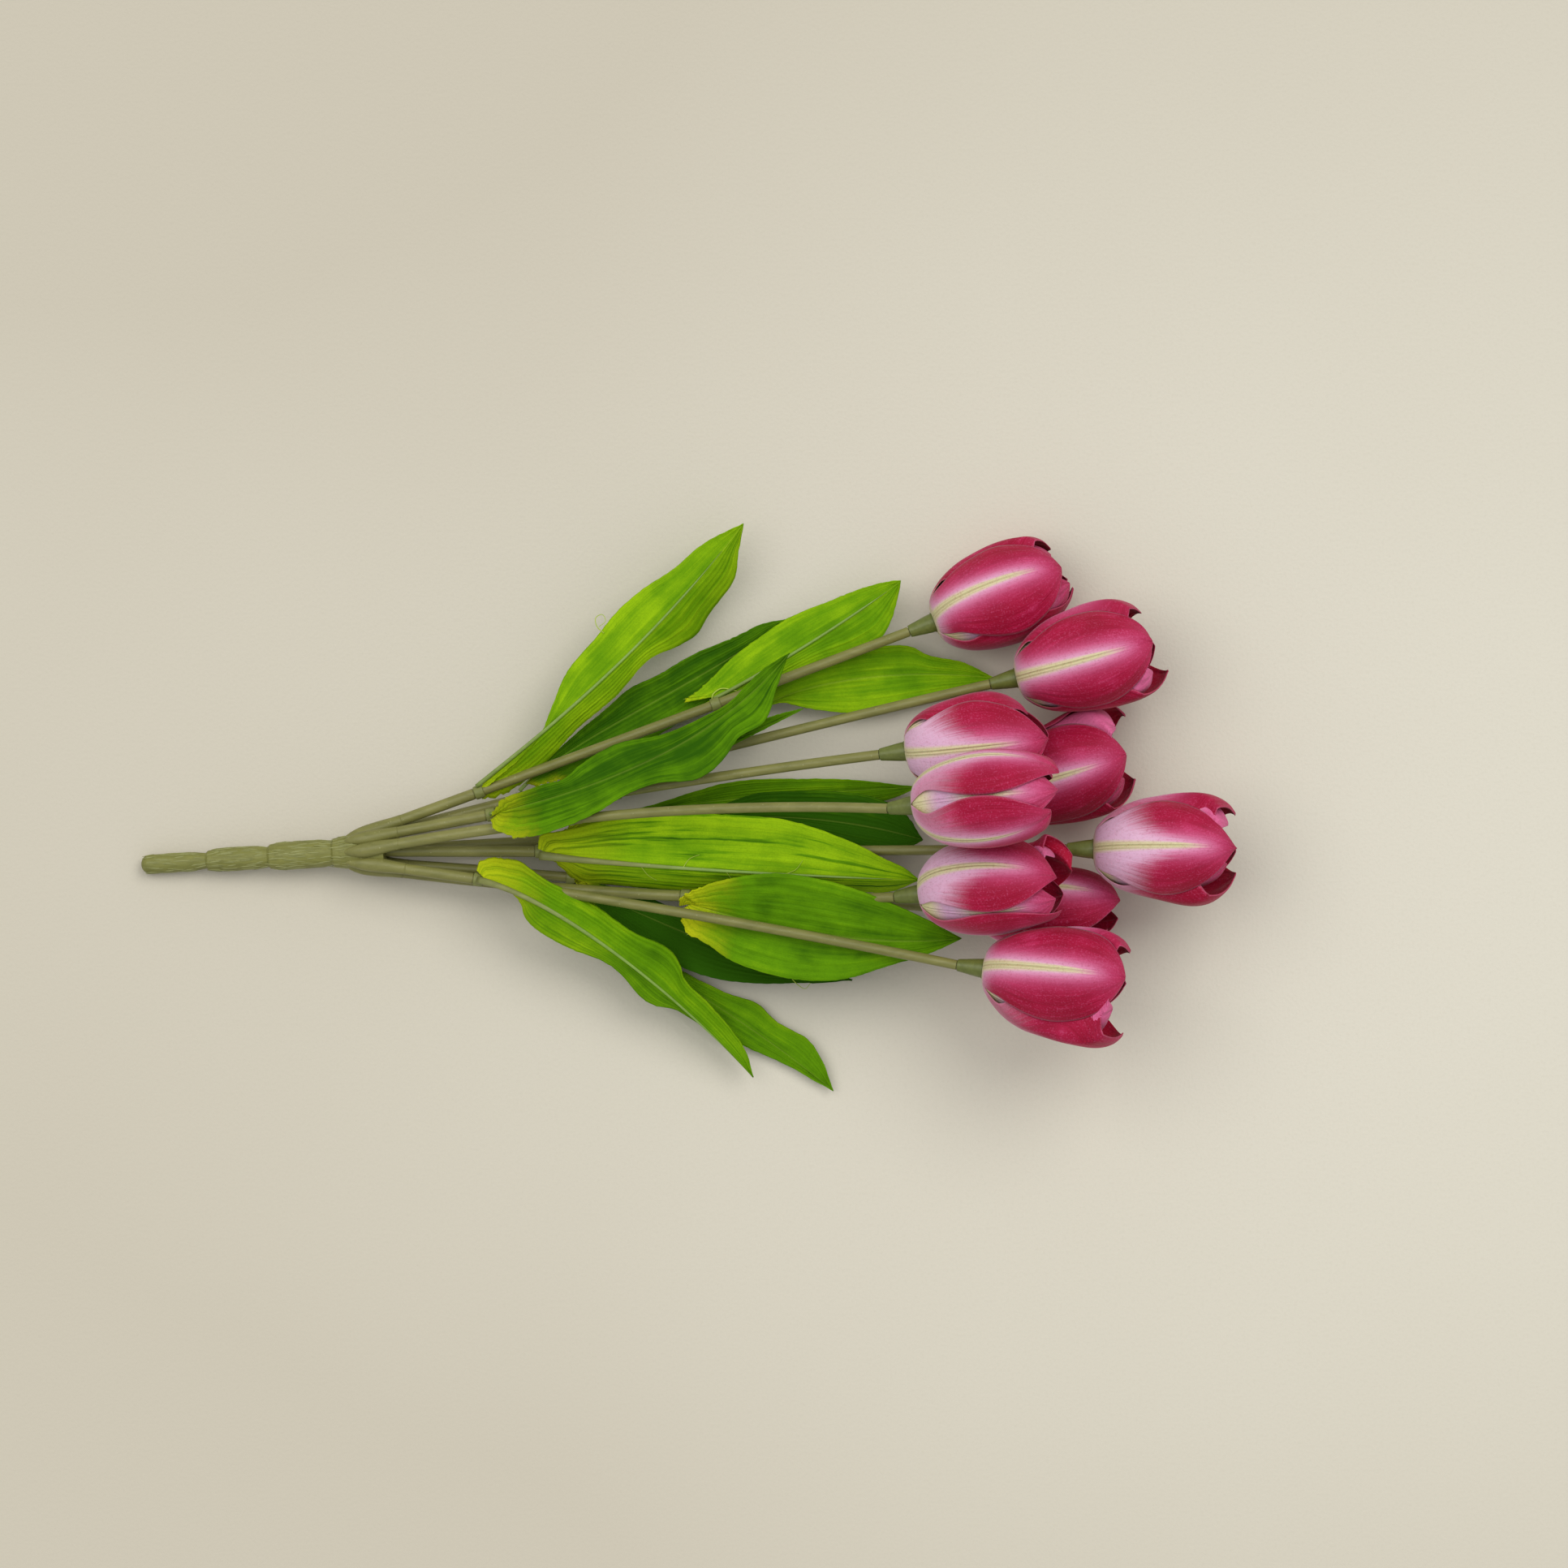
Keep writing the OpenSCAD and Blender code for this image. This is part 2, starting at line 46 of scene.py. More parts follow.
# The photograph's scale: places read from it are in its pixels, [across, down]
photo = {"side": 1932, "mid": (848.4, 995.3), "metresPerPixel": 0.451 / 1353}
mm = 0.001
cupWide = 40 * mm        # heights over the table are counted in flower widths


def place(px, height):
    return np.array([(px[0] - photo["mid"][0]) * photo["metresPerPixel"],
                     (photo["mid"][1] - px[1]) * photo["metresPerPixel"], height * cupWide])


def unit(v):
    return v / np.linalg.norm(v, axis=-1, keepdims=True)


def curveThrough(points, at):
    # smooth values of a table of (place, value) rows
    x = np.array([p[0] for p in points], float)
    y = np.array([p[1] for p in points], float)
    slope = np.gradient(y, x)
    at = np.clip(at, x[0], x[-1])
    k = np.clip(np.searchsorted(x, at, side="right") - 1, 0, len(x) - 2)
    step = x[k + 1] - x[k]
    q = (at - x[k]) / step
    return ((2 * q**3 - 3 * q**2 + 1) * y[k] + (q**3 - 2 * q**2 + q) * step * slope[k]
            + (3 * q**2 - 2 * q**3) * y[k + 1] + (q**3 - q**2) * step * slope[k + 1])


def pathThrough(points, at):
    # places along a smooth path through points, at being shares of its length
    points = np.array(points, float)
    run = np.concatenate([[0], np.cumsum(np.linalg.norm(np.diff(points, axis=0), axis=1))])
    run /= run[-1]
    return np.stack([curveThrough(np.stack([run, points[:, k]], 1), at) for k in range(points.shape[1])], 1)


def smoothStep(low, high, x):
    q = np.clip((x - low) / (high - low), 0, 1)
    return q * q * (3 - 2 * q)


def keepAbove(high, floor):
    # heights that would sink into the table flatten out just above it
    return np.where(high < 3 * floor, floor + 2 * floor * np.exp((high - 3 * floor) / (2 * floor)), high)


def ripple(rng, x, waves):
    # a wandering line between about -1 and 1, of three sines
    line = 0
    for k in range(3):
        line = line + np.sin(2 * math.pi * (waves * (1 + 0.7 * k) * x + rng.uniform())) / (1 + k)
    return line / 1.5


# Meshes

def newObject(name, data):
    thing = bpy.data.objects.new(name, data)
    bpy.context.scene.collection.objects.link(thing)
    return thing


def newPiece(name, verts, faces, uv=None, fields=None, smooth=True):
    mesh = bpy.data.meshes.new(name)
    mesh.from_pydata(np.asarray(verts, float).tolist(), [], faces)
    if uv is not None:
        corner = np.empty(len(mesh.loops), int)
        mesh.loops.foreach_get("vertex_index", corner)
        layer = mesh.uv_layers.new(name="along")
        layer.data.foreach_set("uv", np.asarray(uv, float)[corner].ravel())
    for field, values in (fields or {}).items():
        mesh.attributes.new(field, "FLOAT", "POINT").data.foreach_set("value", np.asarray(values, float))
    mesh.polygons.foreach_set("use_smooth", [smooth] * len(mesh.polygons))
    mesh.update()
    return newObject(name, mesh)


def gridFaces(rows, cols, start=0, wrap=False, flip=False):
    grid = np.arange(rows * cols).reshape(rows, cols) + start
    if wrap:
        grid = np.concatenate([grid, grid[:, :1]], 1)
    quads = [grid[:-1, :-1], grid[:-1, 1:], grid[1:, 1:], grid[1:, :-1]]
    if flip:
        quads.reverse()
    return np.stack([q.ravel() for q in quads], 1).tolist()


def gridMap(rows, cols):
    across, along = np.meshgrid(np.linspace(0, 1, cols), np.linspace(0, 1, rows))
    return np.stack([across.ravel(), along.ravel()], 1)


def sheetShell(points, thickness):
    # a grid of points [row, column, xyz] made a thin closed sheet: (verts, faces, map, fields)
    rows, cols = points.shape[:2]
    normal = unit(np.cross(np.gradient(points, axis=1), np.gradient(points, axis=0)))
    front = (points + normal * thickness / 2).reshape(-1, 3)
    back = (points - normal * thickness / 2).reshape(-1, 3)
    size = rows * cols
    grid = np.arange(size).reshape(rows, cols)
    rim = np.concatenate([grid[0, :-1], grid[:-1, -1], grid[-1, :0:-1], grid[:0:-1, 0]])
    after = np.roll(rim, -1)
    faces = gridFaces(rows, cols) + gridFaces(rows, cols, size, flip=True)
    faces += np.stack([rim, rim + size, after + size, after], 1).tolist()
    uv = np.tile(gridMap(rows, cols), (2, 1))
    return np.concatenate([front, back]), faces, uv, {"side": np.repeat([0.0, 1.0], size)}


def tube(path, radii, sides, flat=1.0):
    # a closed round or flattened bar along a path; flat is the share of its height to its width
    along = unit(np.gradient(path, axis=0))
    wide = unit(np.cross([0.0, 0.0, 1.0], along))
    high = np.cross(along, wide)
    turn = np.linspace(0, 2 * math.pi, sides, endpoint=False)
    radii = np.broadcast_to(radii, len(path))
    ring = (path[:, None] + wide[:, None] * (np.cos(turn)[None, :] * radii[:, None])[..., None]
            + high[:, None] * (np.sin(turn)[None, :] * (radii * flat)[:, None])[..., None])
    count = len(path) * sides
    faces = gridFaces(len(path), sides, wrap=True)
    faces += [[(k + 1) % sides, k, count] for k in range(sides)]
    faces += [[count - sides + k, count - sides + (k + 1) % sides, count + 1] for k in range(sides)]
    uv = np.concatenate([gridMap(len(path), sides), [[0.5, 0], [0.5, 1]]])
    return np.concatenate([ring.reshape(-1, 3), path[:1], path[-1:]]), faces, uv, {}


def lathe(profile, sides, origin, axes):
    # a ring turned from (radius, height) rows about the third of three axes; its profile closes on itself
    profile = np.array(profile, float)
    turn = np.linspace(0, 2 * math.pi, sides, endpoint=False)
    x, y, z = axes
    ring = origin + (profile[:, None, :1] * (np.cos(turn)[:, None] * x + np.sin(turn)[:, None] * y)[None]
                     + profile[:, None, 1:] * z)
    faces = gridFaces(len(profile), sides, wrap=True, flip=True)
    return ring.reshape(-1, 3), faces, gridMap(len(profile), sides), {}


def joined(parts, name):
    # one piece from parts of (verts, faces, map, fields)
    verts, faces, uvs, fields, start = [], [], [], {}, 0
    for partVerts, partFaces, uv, partFields in parts:
        verts.append(partVerts)
        faces += [[i + start for i in face] for face in partFaces]
        uvs.append(uv)
        for key, values in partFields.items():
            fields.setdefault(key, []).append(values)
        start += len(partVerts)
    return newPiece(name, np.concatenate(verts), faces, np.concatenate(uvs),
                    {key: np.concatenate(values) for key, values in fields.items()})


def finishPiece(piece, material, body, slot, *nodes):
    piece.data.materials.clear()
    piece.data.materials.append(material)
    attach(piece, body)
    if nodes:
        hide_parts(*nodes)


# Node trees

class Signal:
    # one output socket; an expression on signals and numbers adds Math nodes

    def __init__(self, graph, socket):
        self.graph = graph
        self.socket = socket

    def maths(self, operation, *values):
        node = self.graph.node("ShaderNodeMath", {"operation": operation}, dict(enumerate(values)))
        return Signal(self.graph, node.outputs[0])

    def __add__(self, other):
        return self.maths("ADD", self, other)

    def __sub__(self, other):
        return self.maths("SUBTRACT", self, other)

    def __rsub__(self, other):
        return self.maths("SUBTRACT", other, self)

    def __mul__(self, other):
        return self.maths("MULTIPLY", self, other)

    def __truediv__(self, other):
        return self.maths("DIVIDE", self, other)

    def __neg__(self):
        return self.maths("MULTIPLY", self, -1)

    __radd__, __rmul__ = __add__, __mul__

    def size(self):
        return self.maths("ABSOLUTE", self)

    def sine(self):
        return self.maths("SINE", self)

    def bell(self, width):
        q = self / width
        return self.maths("EXPONENT", -(q * q))

    def step(self, low, high):
        node = self.graph.node("ShaderNodeMapRange", {"interpolation_type": "SMOOTHSTEP", "clamp": True},
                               {0: self, 1: low, 2: high, 3: 0.0, 4: 1.0})
        return Signal(self.graph, node.outputs[0])


class Graph:
    # a node tree under construction

    def __init__(self, tree):
        self.tree = tree

    def node(self, kind, settings=None, inputs=None):
        node = self.tree.nodes.new(kind)
        for key, value in (settings or {}).items():
            setattr(node, key, value)
        for key, value in (inputs or {}).items():
            self.feed(node.inputs[key], value)
        return node

    def feed(self, socket, value):
        if isinstance(value, Signal):
            value = value.socket
        if isinstance(value, bpy.types.NodeSocket):
            self.tree.links.new(value, socket)
        else:
            socket.default_value = value


class Finish(Graph):
    # a material under construction

    def __init__(self, name, roughness, specular):
        self.material = bpy.data.materials.new(name)
        self.material.use_nodes = True
        super().__init__(self.material.node_tree)
        self.shader = self.tree.nodes["Principled BSDF"]
        self.shader.inputs["Roughness"].default_value = roughness
        self.shader.inputs["Specular IOR Level"].default_value = specular

    def ownField(self, name):
        return Signal(self, self.node("ShaderNodeAttribute", {"attribute_name": name}).outputs["Fac"])

    def split(self, vector):
        node = self.node("ShaderNodeSeparateXYZ", {}, {0: vector})
        return [Signal(self, socket) for socket in node.outputs]

    def ownMap(self):
        return self.split(self.node("ShaderNodeUVMap", {"uv_map": "along"}).outputs[0])[:2]

    def spot(self, scale=(1, 1, 1), turn=(0, 0, 0)):
        coords = self.node("ShaderNodeTexCoord").outputs["Object"]
        settings = {"Vector": coords, "Scale": scale, "Rotation": turn}
        return self.node("ShaderNodeMapping", {"vector_type": "POINT"}, settings).outputs[0]

    def vector(self, x, y, z=0.0):
        return self.node("ShaderNodeCombineXYZ", {}, {0: x, 1: y, 2: z}).outputs[0]

    def noise(self, vector, scale, detail=3.0, roughness=0.5, warp=0.0):
        settings = {"Vector": vector, "Scale": scale, "Detail": detail, "Roughness": roughness,
                    "Distortion": warp}
        return Signal(self, self.node("ShaderNodeTexNoise", {}, settings).outputs["Fac"])

    def mix(self, factor, first, second):
        node = self.node("ShaderNodeMix", {"data_type": "RGBA", "clamp_factor": True}, {0: factor})
        for socket, value in ((node.inputs[6], first), (node.inputs[7], second)):
            self.feed(socket, (*value, 1) if isinstance(value, tuple) else value)
        return node.outputs[2]

    def colour(self, value):
        self.feed(self.shader.inputs["Base Color"], value)

    def relief(self, height, distance, strength):
        settings = {"Height": height, "Distance": distance, "Strength": strength}
        self.feed(self.shader.inputs["Normal"], self.node("ShaderNodeBump", {}, settings).outputs[0])


def linear(red, green, blue):
    # screen colour, 0 to 255, to the scene's linear colour
    return tuple(c / 12.92 if c <= 0.04045 else ((c + 0.055) / 1.055) ** 2.4
                 for c in (red / 255, green / 255, blue / 255))


# Petal cloth: a printed satin with a cream rib line, doubled by painted shade in its groove, and a pale glow
# round it

petalPrint = {
    "cream": linear(212, 206, 156), "creamGrooveShade": linear(172, 164, 102), "white": linear(232, 192, 216),
    "lilac": linear(214, 170, 202), "pink": linear(216, 92, 146), "magenta": linear(188, 22, 74),
    "deep": linear(150, 8, 46), "tip": linear(198, 58, 104), "inside": linear(176, 14, 52),
    "rimHighlight": linear(226, 150, 186), "light": linear(226, 112, 160), "flush": linear(206, 74, 124),
    # half widths in mm of what is printed along the rib at the foot
    "pinkWide": 7.4, "coreWide": 3.9, "lineWide": 3.3,
    # the shares of the petal's length between which each print fades out, and how frayed that end is
    "pinkEnd": (0.66, 0.98, 0.16), "coreEnd": (0.5, 0.88, 0.1), "lineEnd": (0.58, 0.78, 0.1),
    "footEnd": (0.03, 0.2, 0.05), "seatEnd": (0.05, 0.11, 0.04), "paleEnd": (0.2, 0.46, 0.22),
    "innerFootEnd": (0.3, 0.52, 0.1), "innerSeatEnd": (0.16, 0.3, 0.06),
    "sheen": 0.09, "sheenRough": 0.4, "relief": 0.28 * mm,
}


def petalFinish(name, inner=False):
    look = petalPrint
    f = Finish(name, roughness=0.6, specular=0.14)
    f.shader.inputs["Sheen Weight"].default_value = look["sheen"]
    f.shader.inputs["Sheen Roughness"].default_value = look["sheenRough"]
    across, along = f.ownMap()
    rib, side, pale = f.ownField("fromRib"), f.ownField("side"), f.ownField("pale")
    grain = f.noise(f.spot(), 1500.0, 2.0)
    fleck = f.noise(f.spot(), 620.0, 3.0, 0.7)
    threads = f.noise(f.vector(across * 60, along * 3, side), 1.5, 3.0, 0.6)
    pleats = f.noise(f.vector(across * 14 + along * 1.5, along * 1.2, side), 1.6, 3.0, 0.5)
    cloud = f.noise(f.spot(), 70.0, 2.0)
    drift, swell = threads - 0.5, pleats - 0.5
    wide = rib.size() + drift * 1.4

    def until(key, way=along):
        # 1 from the foot up to where a print fades out
        first, last, fray = look[key]
        return 1 - (way + drift * fray).step(first, last)

    # printed ground: deep and magenta mixed at random, flushed where the print is thin, paler towards the
    # tip
    ground = f.mix((cloud - 0.35) * 1.3 + drift + swell * 1.1, look["deep"], look["magenta"])
    ground = f.mix((cloud - 0.62) * 1.6 + swell * 0.8, ground, look["flush"])
    ground = f.mix(along.step(0.7, 1.0) * 0.5 + drift * 0.5, ground, look["tip"])
    if inner:
        thin = (0.45 + along.step(0.3, 0.9) * 0.45) * f.ownField("light")
        ground = f.mix(thin + swell * 0.6, ground, look["light"])
    # glow: a pink band with a white core along the rib, narrower towards the tip
    narrow = wide / (1.1 - along * 0.5)
    ground = f.mix(narrow.bell(look["pinkWide"]) * until("pinkEnd") * 0.9, ground, look["pink"])
    glow = f.mix(cloud, look["white"], look["lilac"])
    colour = f.mix(narrow.bell(look["coreWide"]) * until("coreEnd") * 0.95, ground, glow)
    # some petals are pale over their whole lower part
    colour = f.mix(until("paleEnd", along - wide.bell(7.0) * 0.2) * pale * 0.95, colour, glow)
    colour = f.mix(until("footEnd") * 0.8, colour, glow)
    # cream rib line, with painted shade in the groove along its middle and beside its ridges
    line = 1 - (wide / (look["lineWide"] - along * 2.9)).step(0.35, 1.15)
    colour = f.mix(line * until("lineEnd") * 0.95, colour, look["cream"])
    colour = f.mix(rib.bell(0.3) * (1 - along.step(0.4, 0.7)) * 0.5, colour, look["creamGrooveShade"])
    beside = (rib.size() - 1.2).bell(0.35) * (1 - along.step(0.2, 0.5))
    colour = f.mix(beside * 0.3, colour, look["creamGrooveShade"])
    colour = f.mix(until("seatEnd") * 0.8, colour, look["cream"])
    # painted rim highlight: every petal's edges are painted a paler pink
    rimHighlight = (across * 2 - 1).size().step(0.95, 1.0)
    colour = f.mix(rimHighlight * 0.22, colour, look["rimHighlight"])
    if inner:
        colour = f.mix(until("innerFootEnd"), colour, look["lilac"])
        colour = f.mix(until("innerSeatEnd"), colour, look["cream"])
    inside = f.mix(along.step(0.08, 0.36), look["cream"], look["inside"])
    colour = f.mix(side, colour, f.mix((threads - 0.3) * 0.7, inside, look["deep"]))
    colour = f.mix((fleck - 0.5) * 0.9 + (grain - 0.5) * 0.9, colour, look["deep"])
    colour = f.mix((0.5 - grain) * 1.1 + (pleats - 0.6) * 0.4, colour, look["light"])
    f.colour(colour)
    ridge = (rib.size() - 0.75).bell(0.42) * (1 - along.step(0.55, 0.85))
    crease = rib.bell(0.28) * (1 - along.step(0.6, 0.9))
    grooves = (across * 230 + pleats * 9).sine() * along.step(0.35, 0.8)
    height = grain * 0.16 + threads * 0.5 + pleats * 1.5 + grooves * 0.07 + ridge * 0.8 - crease
    f.relief(height, look["relief"], 0.85)
    return f.material


# Leaf cloth: soft green printing along the veins over a woven ground, yellow at the foot

leafPrint = {
    "yellow": linear(212, 214, 26), "bright": linear(152, 192, 14), "mid": linear(96, 146, 4),
    "dark": linear(42, 86, 0), "pith": linear(172, 190, 80),
    # the tones between which dark runs into mid, and mid into bright
    "midTones": (-0.35, 0.6), "brightTones": (0.4, 1.3), "relief": 0.35 * mm,
}


def leafFinish(name, look):
    green = leafPrint
    f = Finish(name, roughness=0.75, specular=0.07)
    across, along = f.ownMap()
    fromRib = (across * 2 - 1).size()
    weave = f.noise(f.spot(), 1700.0, 2.0)
    cloud = f.noise(f.spot(), 30.0, 3.0, 0.55)
    blot = f.noise(f.spot(), 95.0, 3.0, 0.6)
    band = f.noise(f.vector(across * 4, along * 1.3), 1.7, 4.0, 0.55, 0.4)
    fine = f.noise(f.vector(across * 46, along * 3), 1.5, 3.0)
    streak = f.noise(f.vector(across * 11, along * 2.2, 4.0), 1.3, 3.0, 0.6).step(0.5, 0.68)
    veins = (across * 88).sine()
    # the shade wanders by cloud and blot over the leaf and by band and vein along it; painted shade darkens
    # it along the rib, and painted light makes it paler towards the edges
    shade = (cloud - 0.5) * 1.05 + (blot - 0.5) * 0.7 + (band - 0.5) * 1.3 + (fine - 0.5) * 0.45
    shade = shade + veins * 0.03 + fromRib * fromRib * 0.22 - 0.1 + look["toneAndShade"] - streak * look["streak"]
    colour = f.mix(shade.step(*green["midTones"]), green["dark"], green["mid"])
    colour = f.mix(shade.step(*green["brightTones"]), colour, green["bright"])
    # the yellow foot ends in a wandering border
    start = along + (cloud - 0.5) * 0.2 + (blot - 0.5) * 0.16 + (fine - 0.5) * 0.1 + (0.3 - fromRib) * 0.06
    start = 1 - start.step(look["foot"] * 0.1 - 0.03, look["foot"] * 1.6 + 0.02)
    colour = f.mix(start * (1 - streak * 0.5) * look["yellow"], colour, green["yellow"])
    crease = fromRib.bell(0.03)
    colour = f.mix(crease * 0.16, colour, green["pith"])
    colour = f.mix((weave - 0.45) * 0.7, colour, green["dark"])
    f.colour(colour)
    height = veins * 0.22 + band * 1.4 + fine * 0.5 + blot * 0.5 + weave * 0.24 - crease
    f.relief(height, green["relief"], 0.8)
    return f.material


def mouldedFinish(name, light, dark, roughness=0.45, grain=(90, 500, 500), turn=(0, 0, 0), bump=0.12 * mm,
                  specks=0.0, second=None):
    # grain is how fine the streaks are along three axes, turned by turn; specks is how far pale ones show;
    # second names a field of the piece, and the light and dark colours where it is 1
    f = Finish(name, roughness=roughness, specular=0.38)
    if second:
        share = f.ownField(second[0])
        light, dark = f.mix(share, light, second[1]), f.mix(share, dark, second[2])
    streak = f.noise(f.spot(grain, turn), 1.0, 5.0, 0.6, 0.4)
    cloud = f.noise(f.spot(), 45.0, 3.0)
    speck = f.noise(f.spot(), 900.0, 2.0).step(0.68, 0.76)
    colour = f.mix((streak - 0.3) * 1.2 + (cloud - 0.5) * 0.9, light, dark)
    f.colour(f.mix(speck * specks, colour, linear(196, 196, 150)))
    f.feed(f.shader.inputs["Roughness"], roughness + (streak - 0.5) * 0.25)
    f.relief(streak, bump, 0.7)
    return f.material


# the bark's grain runs along the trunk
trunkTurn = (0, math.radians(5.9), math.radians(-3.6))
finishes = {
    "trunk": mouldedFinish("trunk bark", linear(130, 130, 64), linear(84, 86, 36), 0.5, (140, 900, 900),
                           trunkTurn, 0.4 * mm),
    "stroke": mouldedFinish("trunk bark ridges", linear(148, 150, 94), linear(104, 106, 52), 0.42),
    "stem": mouldedFinish("stem skin", linear(130, 128, 70), linear(90, 92, 40), 0.4, specks=0.25),
    "sleeve": mouldedFinish("sleeve skin", linear(108, 116, 54), linear(66, 76, 26), 0.36, (500, 500, 500)),
    "rib": mouldedFinish("leaf rib skin", linear(130, 162, 72), linear(92, 128, 40), 0.45, specks=0.3,
                         second=("olive", linear(128, 132, 72), linear(90, 98, 42))),
    "wire": mouldedFinish("core wire", linear(150, 150, 148), linear(110, 110, 108), 0.3),
    "petal": petalFinish("petal cloth"),
    "innerPetal": petalFinish("inner petal cloth", inner=True),
    "fray": mouldedFinish("frayed threads", linear(176, 196, 70), linear(120, 160, 40), 0.6),
}
print("materials made:", len(finishes))

for nodeName, node in frame["nodes"].items():
    for word, key in (("trunk", "trunk"), ("stem_", "stem"), ("sleeve", "sleeve"), ("wires", "wire")):
        if word in nodeName:
            for slot in node.material_slots:
                slot.material = finishes[key]

# Stems: each is an arc of a circle from the crown, as the solids have it

crown = {"px": (474, 1047), "high": 0.35, "tipPx": (170, 1066), "length": 102 * mm, "depth": 10 * mm,
         "tipWide": 7.8 * mm, "tipRound": 3.51 * mm, "slotRing": 6.599 * mm}
crownAt = place(crown["px"], crown["high"])
# [angle of its slot round the crown, a place on its way and its neck, both in photo pixels with a height in
# flower widths]; an angle of -1 is the slot in the middle
stems = [
    (90, (760, 913), 0.5, (1120, 778), 0.55),
    (135, (1000, 895), 0.55, (1220, 843), 0.81),
    (45, (900, 955), 0.9, (1083, 930), 1.15),
    (180, (840, 1022), 0.2, (1182, 983), 0.37),
    (0, (800, 1001), 1.162, (1093, 996), 1.925),
    (270, (838, 1104), 0.5, (1102, 1105), 1.15),
    (-1, (800, 1049), 0.545, (1313, 1046), 1.075),
    (225, (840, 1092), 0.2125, (1170, 1120), 0.433),
    (315, (900, 1135), 0.9, (1178, 1188), 1.31),
]


def trunkAxes():
    # the trunk leans down from the crown until its tip lies on the table
    rest = crown["length"] - crown["tipRound"]
    half = crown["tipWide"] / 2
    pitch = math.asin(crownAt[2] / math.hypot(rest, half)) - math.atan2(half, rest)
    yaw = math.atan2(crown["tipPx"][1] - crown["px"][1], crown["px"][0] - crown["tipPx"][0])
    axis = np.array([math.cos(pitch) * math.cos(yaw), math.cos(pitch) * math.sin(yaw), math.sin(pitch)])
    side = unit(np.cross([0, 0, 1.0], axis))
    return np.cross(axis, side), side, axis


trunkUp, trunkSide, trunkAxis = trunkAxes()


class StemArc:
    # the arc of one stem: points and directions by the share of its length

    def __init__(self, slot, viaPx, viaHigh, neckPx, neckHigh):
        angle = math.radians(slot)
        ring = crown["slotRing"] * (math.cos(angle) * trunkUp + math.sin(angle) * trunkSide)
        start = crownAt - crown["depth"] * trunkAxis + (ring if slot >= 0 else 0)
        via, end = place(viaPx, viaHigh), place(neckPx, neckHigh)
        u, v = via - start, end - start
        w = np.cross(u, v)
        self.centre = start + (np.cross(w, u) * (v @ v) + np.cross(v, w) * (u @ u)) / (2 * (w @ w))
        self.radius = np.linalg.norm(end - self.centre)
        self.inward = (self.centre - end) / self.radius
        forward = unit(np.cross(w, self.inward))
        self.forward = -forward if forward @ (end - via) < 0 else forward
        self.angle = 2 * math.asin(np.linalg.norm(end - start) / (2 * self.radius))

    def point(self, share):
        a = self.angle * (1 - share)
        return self.centre - self.radius * (self.inward * math.cos(a) + self.forward * math.sin(a))

    def direction(self, share):
        a = self.angle * (1 - share)
        return self.forward * math.cos(a) - self.inward * math.sin(a)


arcs = [StemArc(*row) for row in stems]

# Where a stem leaves the trunk its skin swells and runs into the bark; thin, wide and end are radii in mm
root = {"from": 9.0 * mm, "inside": 0.62, "bow": 0.12, "reach": 0.075, "rows": 22, "sides": 16,
        "thin": 0.8, "wide": 3.15, "end": 2.4}


def rootPart(arc):
    start = arc.point(0)
    middle = crownAt - crown["depth"] * trunkAxis
    behind = middle - root["from"] * trunkAxis + root["inside"] * (start - middle)
    mouth = 0.5 * (behind + start) + root["bow"] * (start - middle)
    far = [arc.point(root["reach"] * k / 4) for k in range(1, 5)]
    share = np.linspace(0, 1, root["rows"])
    swell = smoothStep(0, 0.45, share) * (1 - smoothStep(0.5, 1, share))
    radii = root["thin"] + (root["end"] - root["thin"]) * smoothStep(0, 0.5, share)
    radii = radii + (root["wide"] - root["end"]) * swell
    return tube(pathThrough([behind, mouth, *far], share), radii * mm, root["sides"])


roots = joined([rootPart(arc) for arc, row in zip(arcs, stems) if row[0] >= 0], "stem_roots")
finishPiece(roots, finishes["stem"], "bush", "trunk")

# Flowers

cup = {
    "thickness": 0.36, "halfAngle": 60.0, "seat": 11.2, "innerSeat": 11.75, "layer": 0.75, "tuck": 0.8,
    "innerBelow": 2.4, "innerWide": 0.87, "innerTall": 0.96,
    # of an outer and an inner petal; clear is the height kept over the table, and step what the front and
    # the lower petal keep more than the upper one
    "rows": (30, 22), "cols": (33, 25), "clear": (0.12 * mm, 0.5 * mm), "step": 0.15 * mm,
    "tipRows": 17, "tipRowsFrom": 0.76,
    # half section of the cup by the share of the run up a petal: radius and height in mm
    "radius": [(0, 2.3), (0.05, 5.3), (0.1, 8.7), (0.15, 11.7), (0.2, 14.2), (0.26, 16.4), (0.34, 18.3),
               (0.44, 19.5), (0.54, 19.8), (0.64, 19.1), (0.74, 17.5), (0.84, 15.2), (0.92, 12.8), (1, 9.8)],
    "height": [(0, 0), (0.05, 0.2), (0.1, 1.4), (0.15, 3.9), (0.2, 7.1), (0.26, 11.3), (0.34, 17.6),
               (0.44, 25.2), (0.54, 32.8), (0.64, 40.2), (0.74, 47.4), (0.84, 53.4), (0.92, 57.2),
               (1, 59.8)],
    # half width of a petal below its tip as a share of its third of the ring
    "width": [(0, 1.0), (0.08, 1.0), (0.14, 0.96), (0.22, 0.92), (0.32, 1.0), (0.45, 1.13), (0.6, 1.19),
              (1, 1.2)],
    # shares of the run up a petal
    "tipFrom": 0.5, "slitAt": 0.22, "slitLong": 0.1, "bellyAt": 0.72, "bellyLong": 0.2,
    # in mm: waves of the skin, of its edges in and up, the dent along the rib, and the bent-in tip
    "skin": 0.25, "edge": 0.45, "edgeUp": 0.35, "dent": 0.7, "bentIn": 1.0,
    # in degrees round the cup: how loosely a petal sits, and where it is free of a neighbour that laps it
    "loose": 2, "free": (-3, 16),
}

